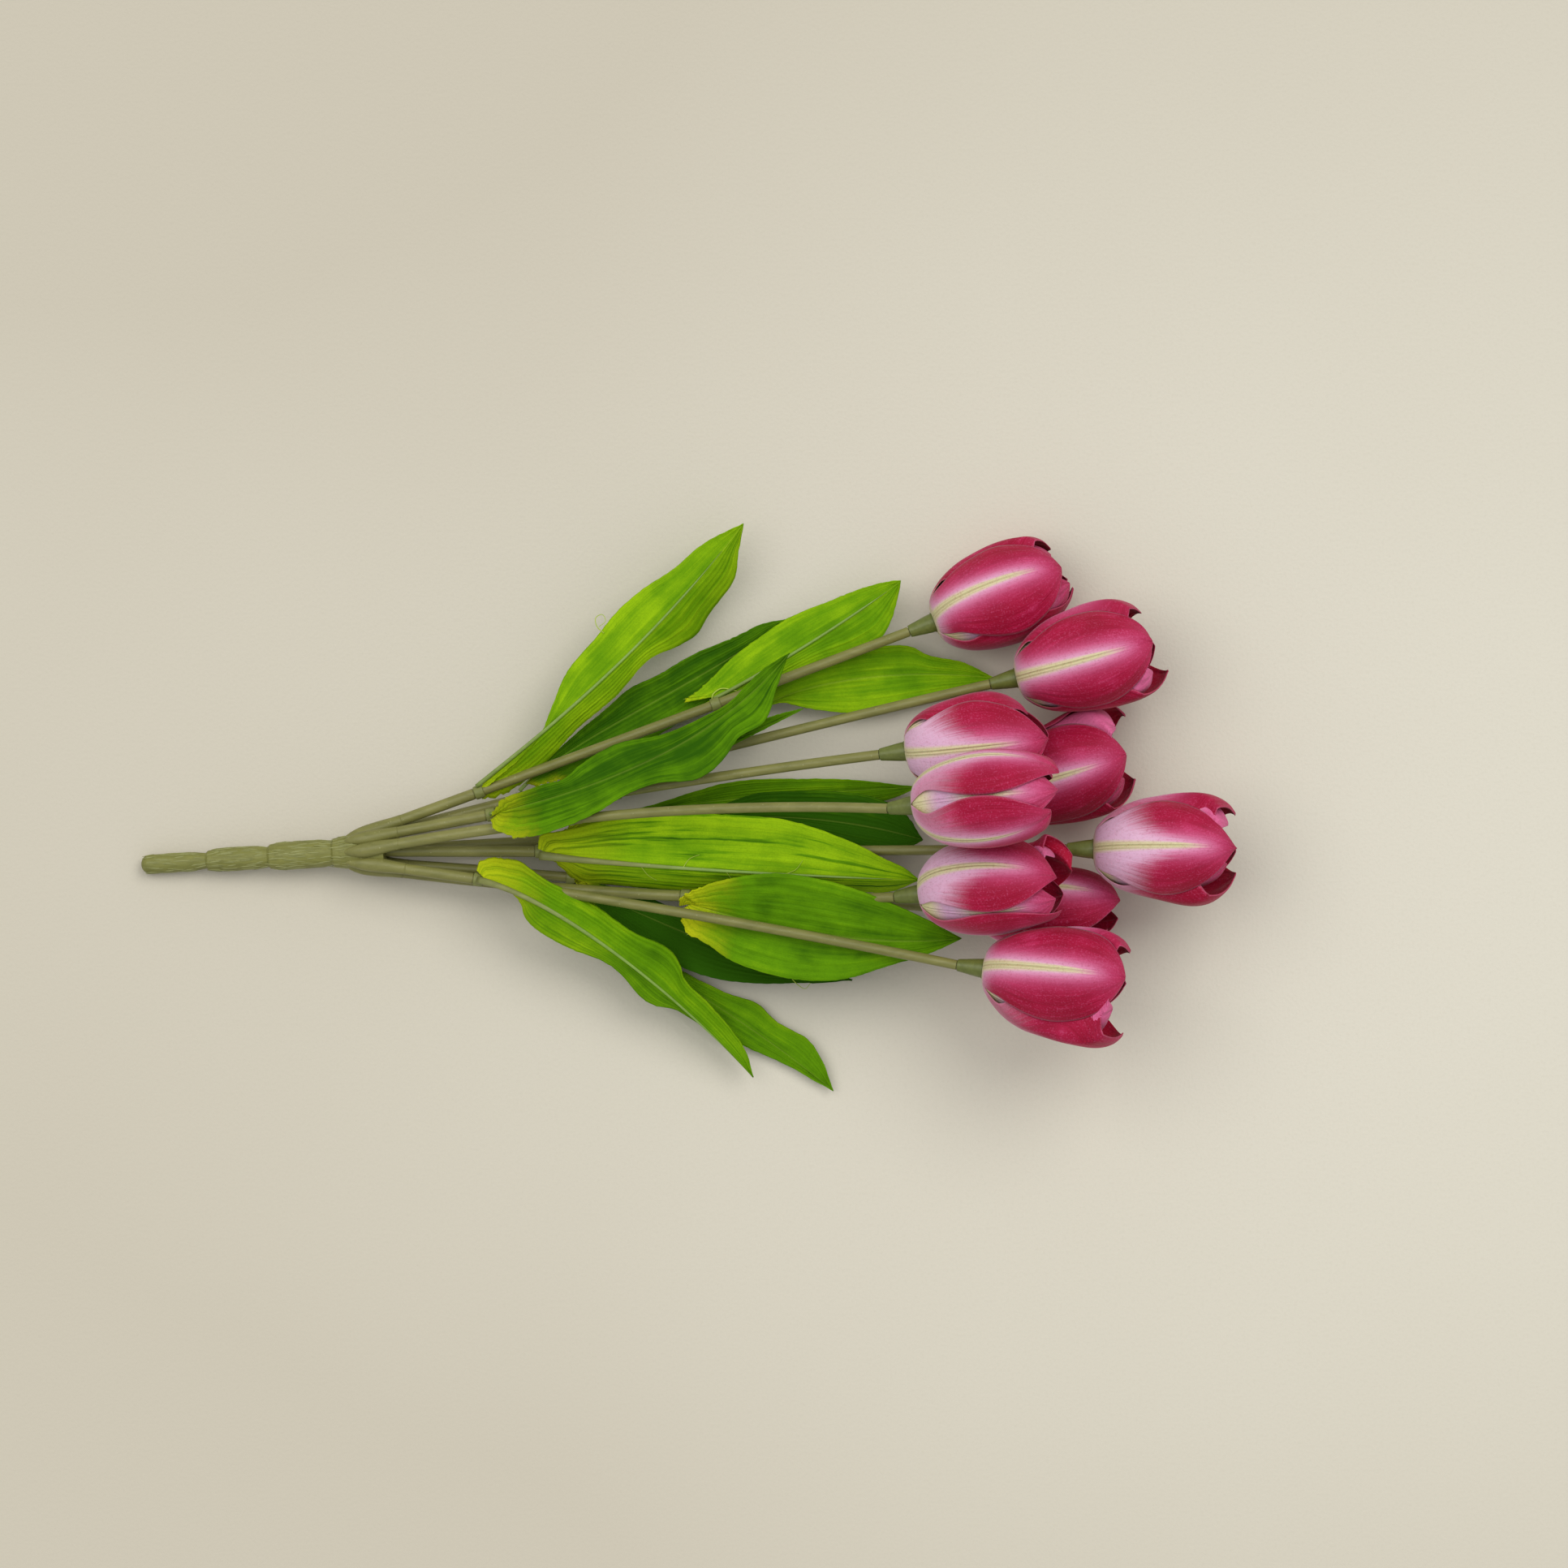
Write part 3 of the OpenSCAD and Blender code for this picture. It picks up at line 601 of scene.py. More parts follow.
# A petal's look: point is 0 for a round tip and 1 for a sharp one; out, bulge and tip push it outwards, in
# mm, from its foot, at its belly and at its tip, curl rolls its right edge out, left and right narrow one
# side and tall stretches it; shift turns the petal about the cup and lean its tip alone, in degrees; pale is
# how far the pale print covers its foot, and light how far an inner petal's print is thinned
petal = {"point": 0.0, "out": 0.0, "bulge": 0.0, "tip": 0.0, "curl": 0.0, "tall": 1.0, "left": 1.0,
         "right": 1.0, "shift": 0.0, "lean": 0.0, "pale": 0.0, "light": 0.15}

# Each flower has its turn about its stem in degrees, how far its slits open, its girth, how far its tip
# bends down the photograph in mm, and its petals: the front one, the lower one and the upper one; then the
# lower and the upper petal of the inner ring
flowerUsual = {"girth": 1.0, "sway": 0.0}
flowerRows = {
    "head_1": {"turn": -20, "slit": 0.09,
        "outer": [{"tall": 0.94, "lean": 4, "left": 0.78}, {"point": 0.6, "tip": -2.5, "tall": 0.98},
                  {"point": 0.15, "shift": 30, "out": 1.6, "bulge": 2.0, "tip": 2.0, "tall": 0.93}],
        "inner": [{"tall": 0.99}, {"bulge": 2.5, "tip": 2.0, "tall": 0.94}]},
    "head_2": {"turn": -2, "slit": 0.12,
        "outer": [{"tall": 0.97, "lean": -8}, {"point": 0.6, "bulge": 1.8, "tip": 3.0, "tall": 1.02},
                  {"point": 0.15, "shift": 24, "out": 2.4, "bulge": 2.8, "tip": 3.0, "tall": 0.93}],
        "inner": [{"bulge": 2.4, "tip": 4.5, "tall": 0.95, "light": 0.9},
                  {"bulge": 2.0, "tip": 1.0, "tall": 0.94}]},
    "head_3": {"turn": 5, "slit": 0.1, "sway": 1.5,
        "outer": [{"point": 0.45, "pale": 1.0, "left": 0.88}, {"bulge": 0.5, "tall": 0.92},
                  {"shift": 18, "bulge": 2.5, "tip": 1.0, "tall": 0.86}],
        "inner": [{"tall": 0.92}, {"bulge": 0.5, "tip": 0.5, "tall": 0.88}]},
    "head_4": {"turn": 4, "slit": 0.05, "sway": -2.5,
        "outer": [{"point": 0.05, "tall": 1.03}, {"point": 0.4, "bulge": 3.0, "tip": 4.0, "tall": 1.02},
                  {"point": 0.8, "bulge": 5.6, "tip": 7.5, "right": 0.6, "tall": 1.05}],
        "inner": [{"bulge": 2.5, "tip": 4.0}, {"bulge": 6.0, "tip": 6.5, "tall": 1.03, "light": 1.0}]},
    "head_5": {"turn": 56, "slit": 0.1, "sway": 1.6,
        "outer": [{"pale": 0.35, "left": 0.84, "tall": 0.97}, {"bulge": 0.5, "tip": 2.0, "tall": 0.86},
                  {"point": 0.05, "pale": 0.5, "right": 0.86, "tall": 1.05}],
        "inner": [{"tall": 0.9}, {"point": 0.25, "bulge": 0.8, "tall": 1.08}]},
    "head_6": {"turn": -29, "slit": 0.06, "sway": 5.0,
        "outer": [{"point": 0.3, "pale": 0.95, "right": 0.8},
                  {"pale": 0.1, "left": 0.86, "tall": 0.97, "bulge": -1.6},
                  {"point": 0.1, "shift": 20, "curl": 7.0, "tip": 1.0, "tall": 1.05}],
        "inner": [{"point": 0.3, "bulge": -0.6, "tip": 1.0}, {"bulge": 1.8, "tip": 6.0, "light": 1.0}]},
    "head_7": {"turn": -5, "slit": 0.1, "sway": 0.8,
        "outer": [{"point": 0.9, "pale": 1.0, "tall": 0.98},
                  {"point": 0.1, "bulge": 4.5, "tip": 1.0, "pale": 0.8, "tall": 0.97},
                  {"point": 0.2, "shift": 26, "out": 2.2, "bulge": 3.4, "tip": 3.5, "pale": 0.4,
                   "tall": 0.97}],
        "inner": [{"tall": 0.94}, {"bulge": 5.4, "tip": 4.5, "tall": 0.95, "light": 0.9}]},
    "head_8": {"turn": -32, "slit": 0.03, "girth": 0.86, "sway": 2.2,
        "outer": [{"point": 0.3}, {"tall": 0.9}, {"tall": 0.88}],
        "inner": [{"tall": 0.86}, {"tall": 0.86}]},
    "head_9": {"turn": -10, "slit": 0.08, "sway": -3.0,
        "outer": [{"tall": 0.99, "lean": 4},
                  {"point": 0.4, "shift": -14, "out": 4.2, "bulge": 4.6, "tip": 8.0, "pale": 0.3},
                  {"shift": 32, "out": 0.2, "bulge": 2.8, "tip": 3.0, "tall": 0.98}],
        "inner": [{"out": 1.5, "bulge": 5.0, "tip": 6.0, "tall": 0.96, "light": 0.8},
                  {"bulge": 2.0, "tip": 2.0, "tall": 0.95}]},
}
flowers = {name: {**flowerUsual, **row} for name, row in flowerRows.items()}


def squareTo(axis):
    # the direction square to an axis that points up most, and the one square to both
    up = unit(np.array([0, 0, 1.0]) - axis[2] * axis)
    return up, np.cross(axis, up)


def headFrame(name):
    axis = unit(np.array(joints[name]["axis"], float))
    return np.array(joints[name]["pos_m"], float), *squareTo(axis), axis


def petalShares(rows):
    # rows up a petal, close together where its tip rounds off
    first = cup["tipRowsFrom"]
    end = first + (1 - first) * np.sin(np.linspace(0, math.radians(87), cup["tipRows"]))
    return np.concatenate([np.linspace(0, first, rows, endpoint=False), end])[:, None]


def petalWidth(flower, look, s, share, inner):
    # half width of a petal, in degrees round the cup, by the share of its run
    q = np.clip((s - cup["tipFrom"]) / (1 - cup["tipFrom"]), 0, 1)
    tipShape = (1 - q ** (2 - 0.2 * look["point"])) ** (0.65 + 0.65 * look["point"])
    slit = 0 if inner else flower["slit"] * np.exp(-((s - cup["slitAt"]) / cup["slitLong"]) ** 2)
    wide = (curveThrough(cup["width"], s) - slit) * tipShape * (cup["innerWide"] if inner else 1)
    return cup["halfAngle"] * wide * (1 - (1 - share) * smoothStep(0.05, 0.24, s))


def petalCentre(flower, look, s, index, inner):
    turn = flower["turn"] + 120 * index + 60 * inner
    return turn + look["shift"] * smoothStep(0.03, 0.4, s) + look["lean"] * s**3


def petalSheet(rng, flower, rows, index, inner):
    # one petal as a thin closed sheet in its flower's own frame, in mm
    look = {**petal, **rows[index]}
    s = petalShares(cup["rows"][inner])
    cols = cup["cols"][inner]
    u = np.linspace(-1, 1, cols)[None, :]
    wide = petalWidth(flower, look, s, np.where(u < 0, look["left"], look["right"]), inner)
    loose = rng.uniform(-cup["loose"], cup["loose"]) * (index > 0)
    turn = petalCentre(flower, look, s, index, inner) + loose * s**2 + u * wide
    # where the petal lies under an outer neighbour it stays down until it is past the neighbour's edge
    bare = 1 + 0 * turn
    for above in (0,) if inner else range(index):
        over = {**petal, **flower["outer"][above]}
        off = (turn - petalCentre(flower, over, s, above, False) + 180) % 360 - 180
        edge = petalWidth(flower, over, s, np.where(off < 0, over["left"], over["right"]), False)
        bare = bare * smoothStep(*cup["free"], np.abs(off) - edge)
    radius = curveThrough(cup["radius"], s) * (1 - (1 - flower["girth"]) * smoothStep(0.05, 0.2, s))
    layer = (1, 0, -1)[index] * cup["layer"] * (0.4 if inner else 1)
    radius = radius + (layer - cup["innerBelow"] * inner) * smoothStep(0.08, 0.28, s)
    # the petal's own form
    rise = look["out"] * smoothStep(0.08, 0.4, s) + look["tip"] * smoothStep(0.62, 1, s)
    rise = rise + look["bulge"] * np.exp(-((s - cup["bellyAt"]) / cup["bellyLong"]) ** 2)
    rise = rise + look["curl"] * smoothStep(0.3, 0.9, u) * smoothStep(0.45, 0.75, s)
    radius = radius + bare * rise - cup["tuck"] * (1 - bare) * smoothStep(0.12, 0.3, s) * (not inner)
    fromRib = u * np.radians(wide) * radius
    # uneven cloth
    edge = np.abs(u) ** 4
    radius = radius + cup["skin"] * ripple(rng, u * 0.5 + s * 0.15, 2.2) * smoothStep(0.2, 0.6, s)
    ruffle = 0.3 + ripple(rng, s + 0 * u, 1.6)
    radius = radius + cup["edge"] * ruffle * edge * bare * smoothStep(0.3, 0.6, s)
    radius = radius - cup["dent"] * np.exp(-(u / 0.16) ** 2) * smoothStep(0.5, 0.95, s) * (1 - look["point"])
    radius = radius - cup["bentIn"] * smoothStep(0.78, 1, s) * u**2
    height = curveThrough(cup["height"], s) * look["tall"] * (cup["innerTall"] if inner else 1)
    height = height + cup["edgeUp"] * ripple(rng, s + 0 * u, 1.2) * edge * smoothStep(0.3, 0.6, s)
    sway = flower["sway"] * (height / cup["height"][-1][1]) ** 2
    angle = np.radians(turn)
    grid = np.stack([radius * np.cos(angle), radius * np.sin(angle) + sway, height], -1)
    verts, faces, uv, fields = sheetShell(grid, cup["thickness"])
    uv[:, 1] = np.tile(np.repeat(s[:, 0], cols), 2)
    fields["fromRib"] = np.tile(fromRib.ravel(), 2)
    for field in ("pale", "light"):
        fields[field] = np.full(len(verts), float(look[field]))
    return verts, faces, uv, fields


def whorlPiece(head, flower, inner):
    origin, x, y, axis = headFrame(head)
    rng = np.random.default_rng(int(head[-1]) * 7 + inner)
    seat = cup["innerSeat"] if inner else cup["seat"]
    rows = flower["outer"]
    if inner:
        lower, upper = flower["inner"]
        rows = [lower, {}, upper]
    parts = []
    for index in range(3):
        verts, faces, uv, fields = petalSheet(rng, flower, rows, index, inner)
        world = origin + mm * (verts[:, :1] * x + verts[:, 1:2] * y + (verts[:, 2:] + seat) * axis)
        world[:, 2] = keepAbove(world[:, 2], cup["clear"][inner] + cup["step"] * (index < 2))
        parts.append((world, faces, uv, fields))
    kind, slot = ("inner_petals", "petal_inner") if inner else ("outer_petals", "petal")
    piece = joined(parts, f"{head}_{kind}_cloth")
    finishPiece(piece, finishes["innerPetal" if inner else "petal"], head, slot, f"{head}_{kind}")


for head, flower in flowers.items():
    whorlPiece(head, flower, inner=False)
    whorlPiece(head, flower, inner=True)
print("flowers made:", len(flowers))

# Leaves: the rib follows the solids' curve, from the collar through three places in photo pixels with
# heights in flower widths; the two edges follow the photograph, from the foot up, in pixels

leafLook = {
    "thickness": 0.4 * mm, "rows": 96, "cols": 29, "clear": 0.7 * mm,       # clear over the table
    # where the blade starts along its rib, how far it lies off the rib, and the rib off its stem's middle
    "start": 0.05, "lift": 0.35 * mm, "ribOff": 3.2 * mm,
    # how the halves bend up, the pleats along each half, and how far its edge wanders up and down
    "bend": 1.25, "pleat": 0.16 * mm, "pleats": 5, "wave": 0.9 * mm,
    "footRag": 0.4, "edgeRag": 0.07,        # raggedness of the cut in mm
}

# roll is the leaf's turn about its rib at foot and tip and fold the rise of its halves, in degrees; its tone
# is its shade of green, set low as painted shade for leaves in the shadow of others; foot the share of its
# length that is yellow and yellow how strongly, streak how far dark streaks show, and stalk how much thicker
# its rib is at the foot, in mm
leafUsual = {"roll": (0, 0), "streak": 0, "stalk": 0.0, "yellow": 0.5}
leafRows = {
    "a": {"stem": 0, "share": 0.216, "roll": (190, 198), "fold": 27, "toneAndShade": 0.85, "foot": 0.07,
          "streak": 0.1, "stalk": 0.1,
          "knots": [(665, 905, 0.74), (790, 810, 0.88), (916, 645, 0.62)],
          "upper": [(590, 974), (617, 955), (645, 930), (667, 903), (679, 873), (696, 832), (736, 783),
              (765, 748), (790, 727), (828, 702), (866, 670), (886, 659), (916, 645)],
          "lower": [(594, 985), (620, 978), (665, 945), (713, 896), (759, 857), (805, 809), (832, 797),
              (858, 781), (874, 755), (887, 738), (905, 712), (910, 680), (916, 645)]},
    "b": {"stem": 1, "share": 0.253, "roll": (0, 4), "fold": 6, "toneAndShade": 0.0, "foot": 0.04,
          "knots": [(690, 915, 0.3), (850, 850, 0.24), (975, 760, 0.2)],
          "upper": [(655, 958), (680, 930), (702, 910), (751, 869), (775, 848), (805, 834), (858, 804),
              (904, 785), (940, 768), (966, 763)],
          "lower": [(660, 968), (700, 958), (760, 932), (820, 900), (880, 858), (930, 815), (966, 763)]},
    "c": {"stem": 0, "share": 0.648, "roll": (180, 176), "fold": 11, "toneAndShade": 0.72, "foot": 0.03,
          "streak": 0.05,
          "knots": [(925, 838, 0.46), (1030, 775, 0.46), (1110, 716, 0.44)],
          "upper": [(843, 865), (862, 848), (880, 832), (893, 818), (912, 802), (931, 788), (966, 764),
              (1019, 741), (1073, 721), (1095, 716), (1110, 715)],
          "lower": [(852, 874), (880, 872), (915, 866), (960, 838), (1010, 815), (1060, 800), (1086, 785),
              (1105, 742), (1110, 715)]},
    # leaf d's tone is set low as painted shade
    "d": {"stem": 2, "share": 0.254, "roll": (-24, -14), "fold": 12, "toneAndShade": 0.12, "foot": 0.075,
          "streak": 0.25,
          "knots": [(690, 982, 1.15), (860, 942, 1.04), (973, 805, 0.78)],
          "upper": [(604, 1008), (610, 996), (620, 984), (645, 975), (671, 966), (690, 962), (721, 938),
              (759, 917), (820, 904), (866, 884), (900, 865), (924, 840), (943, 823), (971, 806)],
          "lower": [(606, 1012), (615, 1024), (630, 1030), (652, 1031), (686, 1022), (732, 1003),
              (774, 978), (805, 966), (866, 957), (893, 934), (908, 911), (943, 888), (956, 850),
              (971, 806)]},
    "e": {"stem": 1, "share": 0.562, "fold": 5, "toneAndShade": 0.75, "foot": 0.05,
          "knots": [(940, 840, 0.2), (1090, 820, 0.14), (1228, 835, 0.24)],
          "upper": [(868, 905), (905, 868), (950, 830), (1000, 808), (1041, 799), (1092, 795),
              (1122, 796), (1145, 807), (1185, 815), (1228, 836)],
          "lower": [(875, 912), (915, 890), (958, 866), (1000, 873), (1057, 878), (1115, 868),
              (1160, 857), (1200, 848), (1228, 836)]},
    "f": {"stem": 2, "share": 0.495, "fold": 12, "toneAndShade": 0.3, "foot": 0.05,
          "knots": [(810, 948, 0.66), (905, 915, 0.66), (989, 873, 0.72)],
          "upper": [(752, 970), (800, 945), (870, 915), (930, 890), (965, 879), (990, 873)],
          "lower": [(755, 978), (800, 972), (860, 945), (905, 917), (950, 894), (990, 873)]},
    "g": {"stem": 3, "share": 0.347, "fold": 4, "toneAndShade": 0.5, "foot": 0.05,
          "knots": [(765, 992, 0.05), (950, 978, 0.06), (1130, 970, 0.2)],
          "upper": [(692, 1022), (740, 1006), (797, 994), (851, 977), (889, 966), (927, 961), (990, 960),
              (1050, 961), (1096, 966), (1130, 970)],
          "lower": [(695, 1034), (760, 1030), (850, 1014), (960, 1003), (1060, 993), (1110, 980),
              (1130, 970)]},
    # leaf i's low tone is painted shade, for the stem and leaves over it
    "i": {"stem": 3, "share": 0.55, "roll": (0, -6), "fold": 10, "toneAndShade": -0.4, "foot": 0.03,
          "knots": [(900, 1003, 0.38), (1020, 1000, 0.5), (1137, 1035, 0.6)],
          "upper": [(840, 1010), (897, 989), (927, 979), (981, 975), (1035, 976), (1075, 982),
              (1112, 1000), (1137, 1035)],
          "lower": [(842, 1018), (900, 1018), (966, 1020), (1020, 1032), (1080, 1045), (1115, 1046),
              (1137, 1035)]},
    "j": {"stem": 6, "share": 0.253, "roll": (206, 212), "fold": 32, "toneAndShade": 0.98, "foot": 0.14,
          "streak": 0.9, "stalk": 1.1, "yellow": 0.45,
          "knots": [(760, 1066, 0.74), (980, 1080, 0.94), (1132, 1084, 1.0)],
          "upper": [(662, 1048), (662, 1036), (668, 1028), (686, 1025), (736, 1013), (790, 1005),
              (835, 1003), (878, 1003), (920, 1005), (962, 1009), (1031, 1030), (1060, 1042),
              (1088, 1057), (1115, 1070), (1132, 1084)],
          "lower": [(664, 1054), (680, 1062), (690, 1068), (702, 1080), (713, 1089), (740, 1089),
              (790, 1094), (843, 1099), (905, 1099), (980, 1099), (1050, 1099), (1103, 1097), (1132, 1084)]},
    "k": {"stem": 5, "share": 0.6, "roll": (16, 6), "fold": 5, "toneAndShade": 0.3, "foot": 0.13, "streak": 0.05,
          "yellow": 0.85,
          "knots": [(890, 1128, 0.78), (1050, 1172, 1.08), (1180, 1156, 1.04)],
          "upper": [(836, 1114), (840, 1106), (864, 1093), (907, 1081), (950, 1076), (1000, 1081),
              (1045, 1092), (1080, 1105), (1115, 1120), (1150, 1137), (1184, 1156)],
          "lower": [(836, 1122), (841, 1136), (844, 1148), (860, 1157), (872, 1164), (898, 1182),
              (940, 1198), (985, 1207), (1040, 1206), (1090, 1191), (1150, 1172), (1184, 1156)]},
    # leaf l's low tone is painted shade, for leaf k and the flowers over it
    "l": {"stem": 7, "share": 0.353, "fold": 6, "toneAndShade": -0.55, "foot": 0.03,
          "knots": [(770, 1112, 0.22), (900, 1190, 0.22), (1050, 1209, 0.35)],
          "upper": [(700, 1082), (740, 1090), (800, 1108), (870, 1136), (950, 1165), (1010, 1190),
              (1050, 1208)],
          "lower": [(698, 1092), (735, 1118), (790, 1160), (843, 1194), (889, 1208), (927, 1212),
              (981, 1212), (1020, 1211), (1050, 1208)]},
    "m": {"stem": 8, "share": 0.196, "roll": (184, 184), "fold": 33, "toneAndShade": 0.55, "foot": 0.13,
          "streak": 0.15, "stalk": 0.7, "yellow": 0.6,
          "knots": [(672, 1100, 1.22), (820, 1210, 0.68), (928, 1329, 0.25)],
          "upper": [(586, 1074), (590, 1062), (603, 1057), (616, 1058), (642, 1062), (655, 1072),
              (673, 1084), (725, 1110), (777, 1147), (831, 1177), (838, 1190), (842, 1204), (872, 1236),
              (898, 1266), (918, 1295), (928, 1329)],
          "lower": [(586, 1082), (600, 1090), (629, 1099), (641, 1112), (647, 1130), (681, 1158),
              (710, 1172), (742, 1184), (760, 1196), (773, 1210), (788, 1228), (803, 1238), (833, 1245),
              (855, 1258), (872, 1268), (894, 1292), (914, 1312), (928, 1329)]},
    "n": {"stem": 7, "share": 0.243, "fold": 4, "toneAndShade": 0.38, "foot": 0.04,
          "knots": [(690, 1122, 0.09), (900, 1240, 0.1), (1027, 1346, 0.08)],
          "upper": [(620, 1075), (690, 1104), (760, 1146), (842, 1199), (898, 1226), (933, 1238),
              (959, 1262), (978, 1272), (994, 1281), (1011, 1305), (1027, 1346)],
          "lower": [(620, 1083), (700, 1134), (780, 1196), (860, 1256), (920, 1292), (950, 1305),
              (981, 1320), (1007, 1335), (1027, 1346)]},
}
leaves = {name: {**leafUsual, **row} for name, row in leafRows.items()}


def leafKnots(look):
    arc = arcs[look["stem"]]
    collar, along = arc.point(look["share"]), arc.direction(look["share"])
    knots = [place(k[:2], k[2]) for k in look["knots"]]
    away = knots[0] - collar
    return collar, along, [collar + leafLook["ribOff"] * unit(away - (away @ along) * along), *knots]


def bezier(p, t):
    t = t[:, None]
    point = (1 - t) ** 3 * p[0] + 3 * t * (1 - t) ** 2 * p[1] + 3 * t**2 * (1 - t) * p[2] + t**3 * p[3]
    along = (1 - t) ** 2 * (p[1] - p[0]) + 2 * t * (1 - t) * (p[2] - p[1]) + t**2 * (p[3] - p[2])
    return point, unit(along)


# A rib is a bar that thins towards its tip and shows further along on top of its leaf; sizes in mm. Its
# collar's half section is (radius, half length), and olive is how far it takes the stem's colour
rib = {"rows": 48, "sides": 12, "shown": 0.93, "hidden": 0.7, "halfHigh": 0.8, "thinner": 0.55,
       "thinnerBy": 0.34, "tip": 0.35, "taper": 0.4, "foot": 0.1, "endFrom": 0.85, "endThin": 0.85,
       "collar": [(2.1, 2.0), (2.4, 2.0), (2.7, 1.8), (2.8, 1.4)], "collarSides": 32,
       "olive": 0.4, "oliveEnd": (0.05, 0.6)}


def ribHalf(t):
    # half the height of the moulded rib
    return (rib["halfHigh"] - rib["thinner"] * smoothStep(0, rib["thinnerBy"], t)) * mm


def ribOnTop(look):
    # a leaf that is rolled past a right angle shows the side that its rib is on
    return math.cos(math.radians(look["roll"][0])) < 0


def leafEdge(rng, px, share):
    # one edge by the share of the rib's run, ragged where it was cut at the foot
    edge = pathThrough(np.array([place(p, 0) for p in px]), share)
    rag = rng.normal(0, leafLook["footRag"], (len(share), 2)) * (1 - smoothStep(0.03, 0.16, share))[:, None]
    rag += rng.normal(0, leafLook["edgeRag"], (len(share), 2))
    edge[:, :2] += rag * mm
    return edge


def leafPiece(name, look):
    rows, cols = leafLook["rows"], leafLook["cols"]
    rng = np.random.default_rng(ord(name))
    t = np.linspace(leafLook["start"], 1, rows)
    u = np.linspace(-1, 1, cols)[None, :]
    spine, along = bezier(leafKnots(look)[2], t)
    run = np.concatenate([[0], np.cumsum(np.linalg.norm(np.diff(spine, axis=0), axis=1))])
    share = run / run[-1]
    plan = spine * [1, 1, 0]
    upper, lower = (leafEdge(rng, look[side], share) - plan for side in ("upper", "lower"))
    reach = np.where(u[..., None] > 0, upper[:, None], lower[:, None]) * np.abs(u)[..., None]
    far = np.linalg.norm(reach[..., :2], axis=-1)
    width = np.maximum(far.max(axis=1, keepdims=True), 1e-6)
    # the halves rise or fall from the rib and bend a little more towards their edges
    foot, tip = look["roll"]
    roll = np.radians(foot + (tip - foot) * t)[:, None]
    back = -1 if ribOnTop(look) else 1
    fold = math.radians(look["fold"]) * back
    rise = np.where(u > 0, np.tan(roll + fold), -np.tan(roll - fold))
    bend = far ** leafLook["bend"] / width ** (leafLook["bend"] - 1)
    pleat = leafLook["pleat"] * np.sin(2 * math.pi * leafLook["pleats"] * np.abs(u) + 1.2)
    pleat = pleat * smoothStep(0.1, 0.3, share)[:, None]
    waves = leafLook["wave"] * np.stack([ripple(rng, share, 2.2), ripple(rng, share, 2.6)], 1)
    wave = np.where(u > 0, waves[:, :1], waves[:, 1:]) * (far / width) ** 2
    wave = wave * smoothStep(0.15, 0.4, share)[:, None]
    high = spine[:, 2:] + back * (ribHalf(t)[:, None] + leafLook["lift"]) + rise * bend + wave + pleat
    high = keepAbove(high, leafLook["clear"])
    grid = np.concatenate([plan[:, None, :2] + reach[..., :2], high[..., None]], -1)
    verts, faces, uv, fields = sheetShell(grid[:, ::-1], leafLook["thickness"])
    uv[:, 1] = np.tile(np.repeat(share, cols), 2)
    piece = newPiece(f"leaf_{name}_cloth", verts, faces, uv, fields)
    finishPiece(piece, leafFinish(f"leaf {name} cloth", look), "bush", "leaf", f"leaf_{name}")
    return grid


def ribParts(look):
    collar, along, knots = leafKnots(look)
    t = np.linspace(0.0, rib["shown"] if ribOnTop(look) else rib["hidden"], rib["rows"])
    end = 1 - smoothStep(rib["endFrom"], 1, t / t[-1]) * rib["endThin"]
    wide = (rib["tip"] + rib["taper"] * (1 - t) + (rib["foot"] + look["stalk"]) * (1 - t) ** 4) * mm
    bar = tube(bezier(knots, t)[0], wide * end, rib["sides"], ribHalf(t) / wide)
    olive = (rib["olive"] + look["stalk"]) * (1 - smoothStep(*rib["oliveEnd"], t))
    bar[3]["olive"] = np.concatenate([np.repeat(olive, rib["sides"]), olive[[0, -1]]])
    half = np.array(rib["collar"]) * mm
    lower = half[::-1] * [1, -1]
    profile = np.concatenate([lower[-1:], half, lower])
    ring = lathe(profile, rib["collarSides"], collar, (*squareTo(along), along))
    ring[3]["olive"] = np.ones(len(ring[0]))
    return [bar, ring]


cloths = {name: leafPiece(name, look) for name, look in leaves.items()}
ribs = joined([part for look in leaves.values() for part in ribParts(look)], "leaf_ribs")
finishPiece(ribs, finishes["rib"], "bush", "rib", "leaf_spines")
print("leaves made:", len(leaves))

# Scattered strokes: bark on the trunk and frayed fibres at the leaves' feet

scatterLook = {
    "bark": {"Density": 150000.0, "Seed": 4, "Least": (1.4 * mm, 0.13 * mm, 0.1 * mm),
             "Most": (3.6 * mm, 0.3 * mm, 0.26 * mm), "Stray": 0.1, "Material": finishes["stroke"],
             "steepest": 0.3},
    "fray": {"Density": 900000.0, "Seed": 9, "Least": (0.5 * mm, 0.05 * mm, 0.05 * mm),
             "Most": (1.5 * mm, 0.09 * mm, 0.09 * mm), "Stray": 0.9, "Material": finishes["fray"],
             "rows": 14},
}


